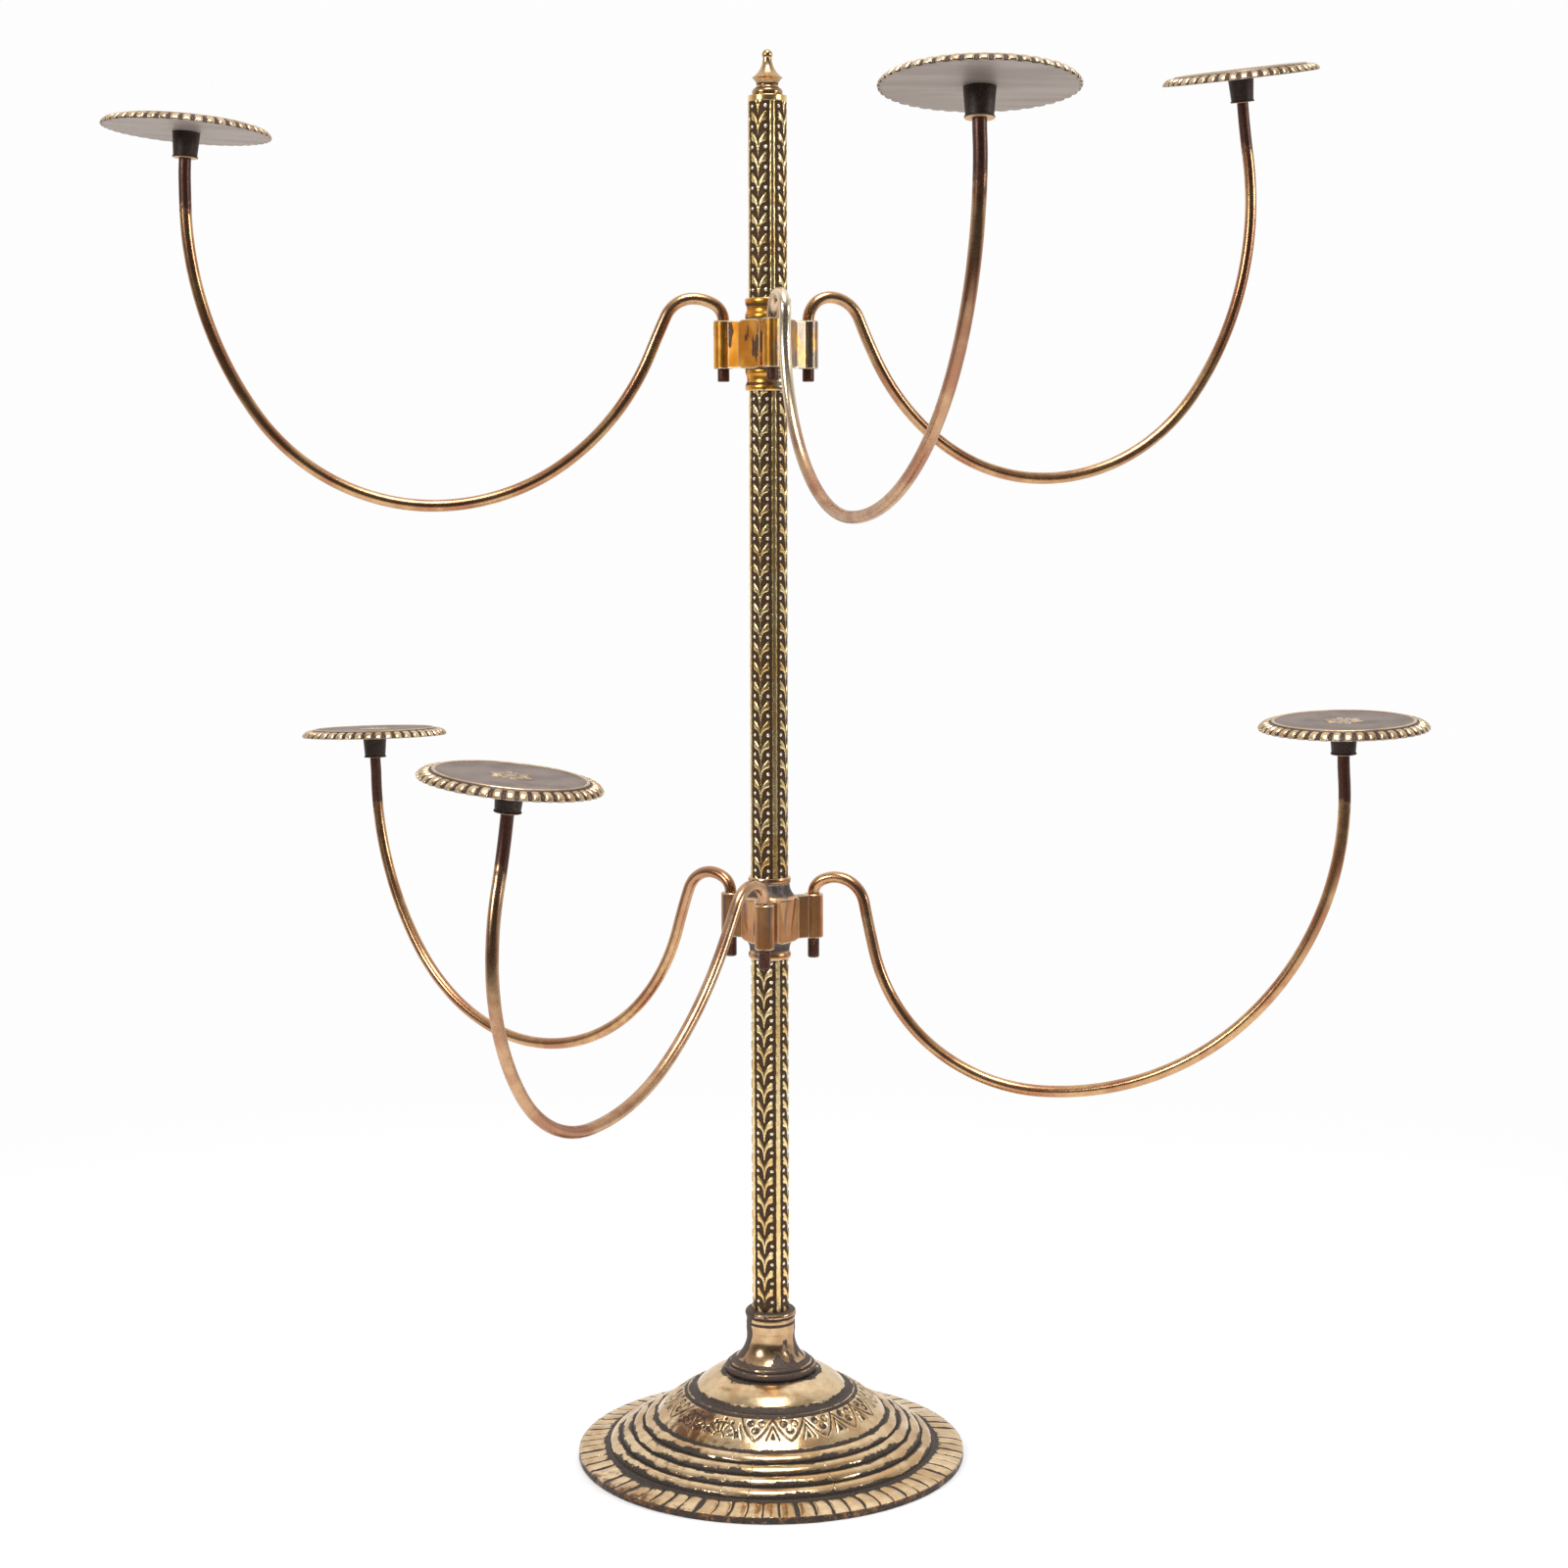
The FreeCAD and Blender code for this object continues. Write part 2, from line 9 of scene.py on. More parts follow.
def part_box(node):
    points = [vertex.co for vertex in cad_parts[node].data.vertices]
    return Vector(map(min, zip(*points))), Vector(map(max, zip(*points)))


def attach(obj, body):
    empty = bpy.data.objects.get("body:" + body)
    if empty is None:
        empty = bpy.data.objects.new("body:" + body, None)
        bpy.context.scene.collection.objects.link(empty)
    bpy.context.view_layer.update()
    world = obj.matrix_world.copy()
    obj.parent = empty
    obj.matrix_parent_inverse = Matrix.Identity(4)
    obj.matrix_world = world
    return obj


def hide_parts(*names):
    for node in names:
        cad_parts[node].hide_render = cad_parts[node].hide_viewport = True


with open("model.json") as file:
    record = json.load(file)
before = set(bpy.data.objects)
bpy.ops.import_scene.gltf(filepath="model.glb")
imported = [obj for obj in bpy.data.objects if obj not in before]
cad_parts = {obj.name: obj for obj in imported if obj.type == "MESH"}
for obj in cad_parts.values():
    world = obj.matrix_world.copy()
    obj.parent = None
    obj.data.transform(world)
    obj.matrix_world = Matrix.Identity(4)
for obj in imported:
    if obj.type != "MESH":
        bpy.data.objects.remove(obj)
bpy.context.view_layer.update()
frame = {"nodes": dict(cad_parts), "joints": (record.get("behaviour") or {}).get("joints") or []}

# -------- camera, light and floor
# The camera stands in front of the column at two thirds of its height and looks a little down. The room
# is a pale studio in metres: bright behind and overhead, dark on the camera's side, with a soft box on
# each hand, and a round sheet of pale paper on the floor that runs out into plain white.
camera_distance = 1.415
camera_height = 0.5309
camera_tilt = 7.05
camera_roll = -0.16
lens_length = 63.68
sideways_shift = 0.0094
floor_radius = 1.1
floor_corners = 96
floor_fade = (0.28, 0.95)
plain_white = (0.985, 0.985, 0.985, 1)

camera = bpy.data.objects.new("camera", bpy.data.cameras.new("camera"))
camera.data.lens = lens_length
camera.data.shift_x = sideways_shift
camera.matrix_world = (
    Matrix.Translation((0, -camera_distance, camera_height))
    @ Matrix.Rotation(math.radians(90 - camera_tilt), 4, "X")
    @ Matrix.Rotation(math.radians(camera_roll), 4, "Z")
)
bpy.context.scene.collection.objects.link(camera)
bpy.context.scene.camera = camera
bpy.context.scene.view_settings.view_transform = "Standard"


def soft_box(name, place, aim, size, power):
    """A square lamp at a place, turned to face aim."""
    lamp = bpy.data.objects.new(name, bpy.data.lights.new(name, "AREA"))
    lamp.data.size = size
    lamp.data.energy = power
    lamp.location = place
    lamp.rotation_euler = (Vector(aim) - Vector(place)).to_track_quat("-Z", "Y").to_euler()
    bpy.context.scene.collection.objects.link(lamp)


soft_box("left_box", (-1.7, -1.4, 1.3), (0, 0, 0.35), 0.6, 22)
soft_box("right_box", (2.1, -0.7, 1.0), (0, 0, 0.35), 0.5, 12)
soft_box("top_box", (0.1, -0.7, 2.4), (0, 0, 0.2), 1.0, 34)


def new_finish(name):
    """An empty material with nodes."""
    finish = bpy.data.materials.new(name)
    finish.use_nodes = True
    finish.node_tree.nodes.clear()
    return finish


def put(finish, kind, sockets=(), **settings):
    """Adds one node and returns it. sockets is a dict from a socket's name or number to a value or to
    another node, whose first output is then joined to it."""
    node = finish.node_tree.nodes.new("ShaderNode" + kind)
    for key, value in settings.items():
        setattr(node, key, value)
    for key, value in dict(sockets).items():
        if isinstance(value, bpy.types.Node):
            value = value.outputs[0]
        if isinstance(value, bpy.types.NodeSocket):
            finish.node_tree.links.new(value, node.inputs[key])
        else:
            node.inputs[key].default_value = value
    return node


def sky():
    """Bright overhead and behind, dim at the front. Seen directly it is plain white."""
    world = bpy.data.worlds.new("studio")
    bpy.context.scene.world = world
    world.use_nodes = True
    world.node_tree.nodes.clear()
    way = put(world, "SeparateXYZ", {0: put(world, "TexCoord").outputs["Generated"]})
    behind = put(
        world, "MapRange", {0: way.outputs[1], 1: -0.45, 2: 0.7, 3: 0.06, 4: 0.9},
        interpolation_type="SMOOTHSTEP",
    )
    above = put(
        world, "MapRange", {0: way.outputs[2], 1: 0.35, 2: 1.0, 3: 0.0, 4: 0.35},
        interpolation_type="SMOOTHSTEP",
    )
    strength = put(world, "Math", {0: behind, 1: above}, operation="ADD")
    seen = put(world, "LightPath").outputs["Is Camera Ray"]
    lit = put(world, "Background", {0: (1.0, 0.985, 0.96, 1), 1: strength})
    plain = put(world, "Background", {0: plain_white, 1: 1.0})
    both = put(world, "MixShader", {0: seen, 1: lit, 2: plain})
    put(world, "OutputWorld", {0: both})


sky()

around_floor = np.linspace(0, 2 * math.pi, floor_corners, endpoint=False)
floor_edge = floor_radius * np.stack([np.cos(around_floor), np.sin(around_floor), 0 * around_floor], axis=1)
floor_mesh = bpy.data.meshes.new("floor")
floor_mesh.from_pydata(floor_edge.tolist(), [], [range(floor_corners)])
floor = bpy.data.objects.new("floor", floor_mesh)
bpy.context.scene.collection.objects.link(floor)
paper = new_finish("pale_paper")
paper_shader = put(paper, "BsdfPrincipled", {"Base Color": (0.93, 0.93, 0.94, 1), "Roughness": 0.9})
paper_light = put(paper, "Emission", {"Color": plain_white, "Strength": 1.0})
from_middle = put(paper, "VectorMath", {0: put(paper, "TexCoord").outputs["Object"]}, operation="LENGTH")
fade = put(
    paper, "MapRange", {0: from_middle.outputs["Value"], 1: floor_fade[0], 2: floor_fade[1]},
    interpolation_type="SMOOTHSTEP",
)
put(paper, "OutputMaterial", {0: put(paper, "MixShader", {0: fade, 1: paper_shader, 2: paper_light})})
floor_mesh.materials.append(paper)

# -------- base
# A hollow brass casting, turned outside: a flat rim engraved with radial lines, four half-round rings,
# a sloping band chased with tongues and dots, and a low dome. Dark wax and dirt lie in every hollow.
# From here on sizes are in millimetres, and a pair is (run inwards, rise) where it names a step.
MM = 0.001
base_radius = 101.4
base_edge_height = 4.1
rim_band = (14.4, 2.1)
rim_step = (1.7, 0.6)
ring = (6.1, 3.7)
ring_count = 4
ring_bulge = 1.5
tongue_band = (16.9, 13.3)
tongue_band_bulge = 0.9
dome_groove = (5.6, 2.9)
dome_groove_depth = 1.0
dome = (13.1, 7.4)
dome_bulge = 1.3
base_wall = 3.2
base_plate = 4.2
base_hole_radius = 8.05
base_tuck = 1.5
groove_width = 0.9
groove_depth = 0.45
groove_dirt = (1.7, 1.15)

rim_line_count = 72
rim_line_width = 0.45
rim_line_depth = 0.7
rim_pillow = 0.35
rim_run = 14.0

tongue_count = 18
tongue_turn = 11.0
tongue_bottom = 0.30
tongue_height = 13.0
tongue_power = 0.72
band_middle_radius = 52.0
line_width = 0.5
line_depth = 0.55
dot_radius = 1.75
dot_wall = 0.42
dot_places = ((-3.1, 10.0), (3.1, 10.0), (0.0, 6.0))
open_triangle = (3.3, 8.6)
filled_triangle = (1.35, 4.6)
half_suns = (-3, -2, 6, 7)
sun_disc_radius = 2.7
sun_arc_radius = 8.5
sun_rays = (3.6, 7.6)
sun_ray_count = 7
sun_dot_count = 5
sun_dot_radius = 0.95


def mesh_piece(name, body, rows, loop, marks, finish, replaced):
    """Puts a grid of places into a mesh of quads and hangs it on a body. rows is an array of rows ×
    columns × 3 in metres whose last column joins the first. Where loop is true the last row joins the
    first, and otherwise the first and last rows have shrunk to a point each and become one corner of a
    fan. marks are arrays of rows × columns that the finish reads. Quads are turned round when the
    volume they enclose comes out negative, so that they face outwards."""
    count, columns = rows.shape[:2]
    index = np.arange(count * columns).reshape(count, columns)
    if not loop:
        index[0] = index[0, 0]
        index[-1] = index[-1, 0]
    below = index if loop else index[:-1]
    above = np.roll(index, -1, axis=0) if loop else index[1:]
    quads = np.stack(
        [below, np.roll(below, -1, axis=1), np.roll(above, -1, axis=1), above], axis=-1
    ).reshape(-1, 4)
    places = rows.reshape(-1, 3)
    corner = places[quads]
    split = [corner[:, [0, 1, 2]], corner[:, [0, 2, 3]]]
    volume = sum(np.einsum("ij,ij->i", t[:, 0], np.cross(t[:, 1], t[:, 2])).sum() for t in split)
    if volume < 0:
        quads = quads[:, ::-1]
    used, renumbered = np.unique(quads, return_inverse=True)
    quads = renumbered.reshape(-1, 4)
    first_same = quads == np.roll(quads, -1, axis=1)
    fans = first_same.any(axis=1)
    faces = quads[~fans].tolist() + [q[~s].tolist() for q, s in zip(quads[fans], first_same[fans])]
    mesh = bpy.data.meshes.new(name)
    mesh.from_pydata(places[used].tolist(), [], faces)
    for mark, values in marks.items():
        layer = mesh.attributes.new(mark, "FLOAT", "POINT")
        layer.data.foreach_set("value", values.reshape(-1)[used].astype(np.float32))
    mesh.polygons.foreach_set("use_smooth", np.ones(len(mesh.polygons), bool))
    mesh.materials.append(finish)
    piece = bpy.data.objects.new(name, mesh)
    bpy.context.scene.collection.objects.link(piece)
    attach(piece, body)
    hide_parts(*replaced)


def bump_at(distance, width):
    """A smooth bell that is 1 at distance 0 and has all but gone at twice its width."""
    return np.exp(-((distance / width) ** 2))


def slope(radius, height, run, rise, bulge, count):
    """count places up one step of a turned outline, as radius, height, how far along the step (0 to
    1), the outward direction and the distance to the step's nearer end. The step bulges as a parabola,
    and places crowd towards its ends."""
    along = (1 - np.cos(np.linspace(0, math.pi, count, endpoint=False))) / 2
    length = math.hypot(run, rise)
    out, up = rise / length, run / length
    lift = bulge * 4 * along * (1 - along)
    return np.stack([
        radius - run * along + out * lift,
        height + rise * along + up * lift,
        along,
        np.full(count, out),
        np.full(count, up),
        np.minimum(along, 1 - along) * length,
    ])


def revolve(outline, angles):
    """Places of an outline, given as radius and height for each row and column, about the +Z axis."""
    radius, height = outline
    return np.stack([radius * np.cos(angles), radius * np.sin(angles), height], axis=-1) * MM


def noise(finish, scale, detail=4.0, stretch=(1, 1, 1), roughness=0.6):
    """Cloudy grey from 0 to 1, with scale clouds to the metre, drawn out along an axis by stretch."""
    place = put(finish, "TexCoord").outputs["Object"]
    if stretch != (1, 1, 1):
        place = put(finish, "Mapping", {"Vector": place, "Scale": stretch})
    return put(
        finish, "TexNoise", {"Vector": place, "Scale": scale, "Detail": detail, "Roughness": roughness}
    )


def between(finish, value, low, high, start=0.0, end=1.0):
    """Goes smoothly from start to end as value goes from low to high."""
    return put(
        finish, "MapRange", {0: value, 1: low, 2: high, 3: start, 4: end}, interpolation_type="SMOOTHSTEP"
    )


def maths(finish, operation, a, b=0.0, c=0.0):
    """One operation on two or three values."""
    return put(finish, "Math", {0: a, 1: b, 2: c}, operation=operation)


def mixed(finish, share, a, b):
    """Colour a going over to colour b as share goes from 0 to 1."""
    return put(finish, "MixRGB", {0: share, 1: a, 2: b})


def aged_brass(
    name, gold, warm, patina, dirt, brown=None, gloss=0.2, dull=0.5, waves=0.12, grit=0.02,
    ragged=0.55, brown_share=None, scratches=0.015, warm_patches=(0.42, 0.66), grain=(1, 1, 1),
):
    """Polished brass that has darkened with age. gold and warm drift into each other in broad soft
    patches, patina covers where dirt is high with a ragged edge, and brown stains where brown_share is
    high. waves, grit and scratches are the heights of the bumps in millimetres, and grain draws the
    patches out along an axis."""
    finish = new_finish(name)
    if callable(dirt):
        dirt = dirt(finish)
    broad = noise(finish, 38, 3)
    blotch = noise(finish, 210, 5, stretch=grain)
    crumbs = noise(finish, 640, 4)
    fine = noise(finish, 1300, 3)
    colour = mixed(finish, between(finish, broad, *warm_patches), gold, warm)
    colour = mixed(finish, between(finish, blotch, 0.38, 0.68, 0.0, 0.5), colour, warm)
    if brown_share is not None:
        stain_and_shade = maths(finish, "ADD", brown_share(finish), maths(finish, "MULTIPLY_ADD", blotch, 1.6, -0.8))
        colour = mixed(finish, between(finish, stain_and_shade, 0.35, 0.75, 0.0, 0.85), colour, brown)
    coarse = maths(finish, "MULTIPLY_ADD", blotch, 2 * ragged, maths(finish, "SUBTRACT", dirt, ragged))
    coarse = maths(finish, "SUBTRACT", coarse, ragged / 2)
    cover = between(finish, maths(finish, "MULTIPLY_ADD", crumbs, ragged, coarse), 0.38, 0.62)
    specks = between(finish, noise(finish, 520, 6, roughness=0.75), 0.66, 0.74, 0.0, 0.75)
    cover = maths(finish, "MAXIMUM", cover, specks)
    dark = mixed(finish, between(finish, fine, 0.3, 0.7), patina, [c * 0.45 for c in patina[:3]] + [1])
    colour = mixed(finish, cover, colour, dark)
    shine = maths(finish, "MULTIPLY_ADD", cover, dull - gloss, gloss)
    shine = maths(finish, "ADD", shine, maths(finish, "MULTIPLY", fine, 0.12))
    metal = between(finish, cover, 0.0, 1.0, 1.0, 0.55)
    wavy = put(finish, "Bump", {"Height": noise(finish, 75, 2), "Distance": waves * MM, "Strength": 1.0})
    lines = put(finish, "Bump", {
        "Height": noise(finish, 900, 2, stretch=(1, 1, 0.08)), "Distance": scratches * MM, "Strength": 1.0,
        "Normal": wavy,
    })
    rough = put(finish, "Bump", {
        "Height": maths(finish, "MULTIPLY", fine, maths(finish, "MULTIPLY_ADD", cover, 2.5, 0.3)),
        "Distance": grit * MM, "Strength": 1.0, "Normal": lines,
    })
    shader = put(finish, "BsdfPrincipled", {
        "Base Color": colour, "Metallic": metal, "Roughness": shine, "Normal": rough,
    })
    put(finish, "OutputMaterial", {0: shader})
    return finish


def tint(finish, share, colour):
    """Lays a colour over the rest of a finish where share is high."""
    shader = next(node for node in finish.node_tree.nodes if node.type == "BSDF_PRINCIPLED")
    under = shader.inputs["Base Color"].links[0].from_socket
    finish.node_tree.links.new(mixed(finish, share, under, colour).outputs[0], shader.inputs["Base Color"])


def mark(name):
    """Reads one of the marks that a mesh carries."""
    return lambda finish: put(finish, "Attribute", attribute_name=name).outputs["Fac"]


base_brass = aged_brass(
    "base_brass_cast", (0.80, 0.61, 0.38, 1), (0.56, 0.36, 0.18, 1), (0.085, 0.062, 0.048, 1),
    mark("hollow"), brown=(0.13, 0.045, 0.022, 1), brown_share=mark("brown"), gloss=0.14, waves=0.35,
    ragged=0.85,
)


def base_outline():
    """The outline from the edge of the rim to the dome, as one array of slope's values for each step."""
    radius, height = base_radius, base_edge_height
    steps = {}
    for name, (run, rise), bulge, count in (
        [("rim", rim_band, 0.15, 9), ("step", rim_step, 0, 3)]
        + [("ring_%d" % k, ring, ring_bulge, 12) for k in range(ring_count)]
        + [("band", tongue_band, tongue_band_bulge, 44), ("groove", dome_groove, -dome_groove_depth, 9)]
        + [("dome", dome, dome_bulge, 14)]
    ):
        steps[name] = slope(radius, height, run, rise, bulge, count)
        radius, height = radius - run, height + rise
    return steps


def brown_side(angles):
    """Stained brown on the left of the front, and a little on the far side."""
    front = np.angle(np.exp(1j * (angles + math.pi / 2)))
    return 0.75 * bump_at(front + 0.85, 0.42) + 0.45 * bump_at(front - 2.6, 0.5)


def rim_and_rings():
    """Rows from the foot's inner edge round the rim and up the rings. Columns crowd at the engraved
    lines, which are bells cut down across the rim, and between them the rim swells as 1 + cos. The
    grooves between rings are bells too, and their dirt is wider in places, by three sines round the
    base."""
    steps = base_outline()
    within = np.array([-0.5, -0.44, -0.38, -0.28, -0.14, 0.0, 0.14, 0.28, 0.38, 0.44])
    wobble = np.random.default_rng(5).normal(0, 0.04, rim_line_count)
    pitch = 2 * math.pi / rim_line_count
    angles = ((np.arange(rim_line_count) + wobble)[:, None] + within).reshape(-1) * pitch
    cell = np.tile(within, rim_line_count)
    skew = np.repeat(np.random.default_rng(6).normal(0.2, 0.15, rim_line_count), len(within))
    outline, hollow, brown, turned = [], [], [], []
    ones = np.ones_like(angles)
    side = brown_side(angles)

    def uneven(phase):
        """How wide dirt lies round the base, as a share of its usual width."""
        ripple = 0.42 * np.sin(5 * angles + phase) + 0.34 * np.sin(11 * angles + 3 * phase)
        return np.clip(1 + ripple + 0.28 * np.sin(23 * angles + 5 * phase) + 0.45 * side, 0.45, 2.4)

    def add(radius, height, dirt, stain_and_shade):
        """One plain row."""
        outline.append((radius * ones, height * ones))
        hollow.append(dirt * ones)
        brown.append(np.clip(stain_and_shade + 0.5 * side, 0, 1))
        turned.append(0 * ones)

    foot_inner = base_radius - rim_band[0] - rim_step[0] - base_wall
    add(foot_inner, 0.0, 1.0, 0.2)
    add(base_radius - 0.6, 0.0, 0.9, 0.9)
    for height in (0.35, 1.4, 2.7):
        add(base_radius, height, 0.6, 0.95)
    add(base_radius - 0.1, base_edge_height - 0.5, 0.3, 0.75)
    far = np.minimum(np.abs(cell + 0.5), np.abs(cell - 0.5)) * pitch
    for radius, height, along, out, up, edge in steps["rim"].T:
        line = bump_at(far * radius, rim_line_width) * min(1.0, 0.4 + along * 6) * min(1.0, (1 - along) * 5)
        pillow = rim_pillow * (np.cos(cell * 2 * math.pi) - 1) / 2 * min(1.0, 4 * along + 0.3)
        lift = pillow - rim_line_depth * line - 0.5 * bump_at(along * rim_run, 1.1)
        outline.append((radius + out * lift, height + up * lift))
        foot_dirt = 0.9 * bump_at((1 - along) * rim_run, 1.6 * uneven(1.0))
        hollow.append(np.clip(2.5 * line + foot_dirt + 0.3 * side, 0, 1.35))
        brown.append(np.clip(0.22 * bump_at(along * rim_run, 3.0) + 0.6 * side, 0, 1))
        turned.append(skew * pitch * along * (1 - along) * 2)
    for number, name in enumerate(["step"] + ["ring_%d" % k for k in range(ring_count)]):
        for radius, height, along, out, up, edge in steps[name].T:
            sunk = groove_depth * bump_at(edge, groove_width / 2)
            phase = 1.7 * number + 2.3 * (along > 0.5)
            spread = groove_dirt[int(along > 0.5)] * uneven(phase)
            dirt = 1.1 if name == "step" else 1.2 * bump_at(edge, spread)
            add(radius - out * sunk, height - up * sunk, dirt, 0.0)
    last = steps["band"][:, 0]
    add(last[0], last[1], 1.0, 0.0)
    add(last[0] - base_tuck, last[1] - 1.0, 1.0, 0.0)
    add(last[0] - base_tuck, last[1] - base_wall - 1.0, 1.0, 0.0)
    add(foot_inner, base_edge_height / 2 + base_tuck, 1.0, 0.0)
    radius, height = np.array(outline).transpose(1, 0, 2)
    rows = revolve((radius, height), angles + np.array(turned))
    marks = {"hollow": np.array(hollow), "brown": np.array(brown)}
    return rows, marks


def tongue_motifs(across, up):
    """How deep the chasing is at places of the band. across is in millimetres from the middle of a
    motif and up is above the tongues' points. Each tongue is a shield drawn as |across| = half × (up ÷
    height) to a power; an open triangle with a small filled one stands between neighbours, and three
    round dots are punched in each tongue, two above one. A line is a bell of the distance from it."""
    half = math.pi * band_middle_radius / tongue_count
    share = np.clip(up / tongue_height, 0.0, 1.0)
    shield = half * share ** tongue_power
    tilt = 1 / np.hypot(1, half / tongue_height)
    inside = (up > -0.3) & (up < tongue_height + 0.2)
    side = np.abs(across)
    outline = bump_at((side - shield) * tilt, line_width) * inside
    top = bump_at(up - tongue_height - 0.3, 0.34) * 0.8
    gap = half - side
    open_edge = open_triangle[0] * np.clip(1 - (up - 0.4) / open_triangle[1], 0, 1)
    triangle = bump_at((gap - open_edge) * 0.9, 0.36) * ((up > 0.2) & (up < 9.0))
    filled_edge = filled_triangle[0] * np.clip(1 - (up - 0.6) / filled_triangle[1], 0, 1)
    filled = ((gap < filled_edge) & (up > 0.6)) * 1.0
    foot = bump_at(up - 0.2, 0.3) * (gap < 3.6) * 0.6
    dots = np.zeros_like(across)
    for x, y in dot_places:
        away = np.hypot(across - x, up - y)
        floor_of_dot = 0.55 / (1 + np.exp((away - dot_radius) * 6))
        dots = np.maximum.reduce([dots, floor_of_dot, bump_at(away - dot_radius, dot_wall)])
    return np.maximum.reduce([outline, top, triangle, filled, foot, dots])


def half_sun_motifs(across, up):
    """A half disc on the band's lower edge with rays round it, an arc past their ends and a fan of
    punched dots. Rays are bells of the angle and arcs bells of the distance from the disc's middle."""
    away = np.hypot(across, up - 0.5)
    turn = np.arctan2(np.maximum(up - 0.5, 0), across)
    ray = np.abs((turn / math.pi * sun_ray_count) % 1 - 0.5)
    rays = bump_at(ray, 0.2) * ((away > sun_rays[0]) & (away < sun_rays[1]))
    arcs = np.maximum(bump_at(away - sun_disc_radius, 0.4), bump_at(away - sun_arc_radius, 0.42))
    tops = bump_at(up - tongue_height - 0.3, 0.34) * 0.8
    dots = np.zeros_like(across)
    for k in range(sun_dot_count):
        lift = math.pi * (k + 0.5) / sun_dot_count
        far = np.hypot(across - 10.3 * math.cos(lift) * 0.82, up - 0.5 - 10.6 * math.sin(lift))
        dots = np.maximum(dots, 1 / (1 + np.exp((far - sun_dot_radius) * 6)))
    return np.maximum.reduce([rays, arcs * (up > 0), tops, dots])


def band_and_dome():
    """Rows from under the band, up over the chased band, the dark groove and the dome, and back down
    through the hole for the neck and along the underside. The chasing is cut in along the outward
    direction, and on the worn side a sum of seven seeded plane waves makes it lumpy."""
    steps = base_outline()
    columns = tongue_count * 72
    angles = np.linspace(0, 2 * math.pi, columns, endpoint=False)
    ones = np.ones(columns)
    front = np.degrees(angles) + 90 - tongue_turn
    number = np.round(front / (360 / tongue_count))
    turn = np.radians(front - number * 360 / tongue_count)
    number = (number + tongue_count // 2) % tongue_count - tongue_count // 2
    sun = np.isin(number, half_suns)
    side = brown_side(angles)
    worn = 0.42 * side
    plane_waves = np.random.default_rng(9).normal(0, 1.0, (7, 3))
    outline, hollow, brown = [], [], []
    first = steps["band"][:, 0]
    outline.append((ones * (first[0] + 0.2), ones * (first[1] - 0.6)))
    hollow.append(ones)
    brown.append(side)
    band_length = math.hypot(*tongue_band)
    for name in ("band", "groove", "dome"):
        for radius, height, along, out, up, edge in steps[name].T:
            cut = dirt = 0.0 * ones
            if name == "band":
                above = ones * (along - tongue_bottom) * band_length
                across = turn * band_middle_radius
                chased = np.where(sun, half_sun_motifs(across, above), tongue_motifs(across, above))
                lumps = sum(
                    np.sin(angles * band_middle_radius * a + above * b + 6 * c) for a, b, c in plane_waves
                ) / len(plane_waves)
                within = (above > -0.5) * (above < tongue_height)
                cut = line_depth * (1 + 0.5 * sun) * chased + worn * (0.4 + lumps) * within
                dirt = chased * (1.0 + 0.2 * sun) + 0.9 * np.clip(lumps, 0, 1) * side * within
                dirt = dirt + 1.1 * bump_at(edge, groove_dirt[0])
            if name == "groove":
                dirt = ones * (0.3 + 0.9 * math.sin(math.pi * along))
            if name == "dome":
                spread = 1.2 + 0.6 * np.sin(3 * angles + 2) + 0.4 * np.sin(8 * angles) + side
                dirt = ones * 1.1 * bump_at(edge, np.maximum(spread, 0.5)) * (along > 0.5)
            outline.append((radius - out * cut, height - up * cut))
            hollow.append(np.clip(dirt, 0, 1))
            brown.append(side * (name != "dome"))
    base_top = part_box("base_casting")[1].z / MM
    seat = steps["dome"][:, 0][0] - dome[0]
    inside = [
        (seat, base_top), (base_hole_radius, base_top), (base_hole_radius, base_top - base_plate),
        (seat - base_wall, base_top - base_plate),
        (first[0] - tongue_band[0] - base_tuck, first[1] + tongue_band[1] - 4),
        (first[0] - base_tuck, first[1] - base_wall - 1.0),
    ]
    for radius, height in inside:
        outline.append((ones * radius, ones * height))
        hollow.append(ones * 0.7)
        brown.append(ones * 0.3)
    radius, height = np.array(outline).transpose(1, 0, 2)
    return revolve((radius, height), angles), {"hollow": np.array(hollow), "brown": np.array(brown)}


for name, (rows, marks) in (
    ("base_rim_and_rings", rim_and_rings()),
    ("base_band_and_dome", band_and_dome()),
):
    mesh_piece(name, "stand", rows, True, marks, base_brass, ("base_casting",))

# -------- neck
# A turned brass collar that stands on the dome and holds the column. Its foot and rings are bright on
# their crests and dark between, and old polish has dried in drips down the flare.
nodes = frame["nodes"]


def height_in(finish):
    """The height of a place, in metres."""
    return put(finish, "SeparateXYZ", {0: put(finish, "TexCoord").outputs["Object"]}).outputs[2]


def bands(*heights):
    """Dirt that lies in level lines. Each is (height, half its width, how dark) in millimetres."""
    def dirt(finish):
        """The darkest of the lines at each place."""
        level = height_in(finish)
        total = 0.0
        for height, half, dark in heights:
            away = maths(finish, "ABSOLUTE", maths(finish, "SUBTRACT", level, height * MM))
            here = between(finish, away, half * 0.5 * MM, half * 1.3 * MM, dark, 0.0)
            total = maths(finish, "MAXIMUM", total, here)
        return total
    return dirt


def dress(node, finish):
    """Gives a carried-over piece its finish."""
    held = nodes[node].data.materials
    held.clear()
    held.append(finish)


neck_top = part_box("socket_neck")[1].z / MM
dome_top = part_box("base_casting")[1].z / MM
collar_height = 9


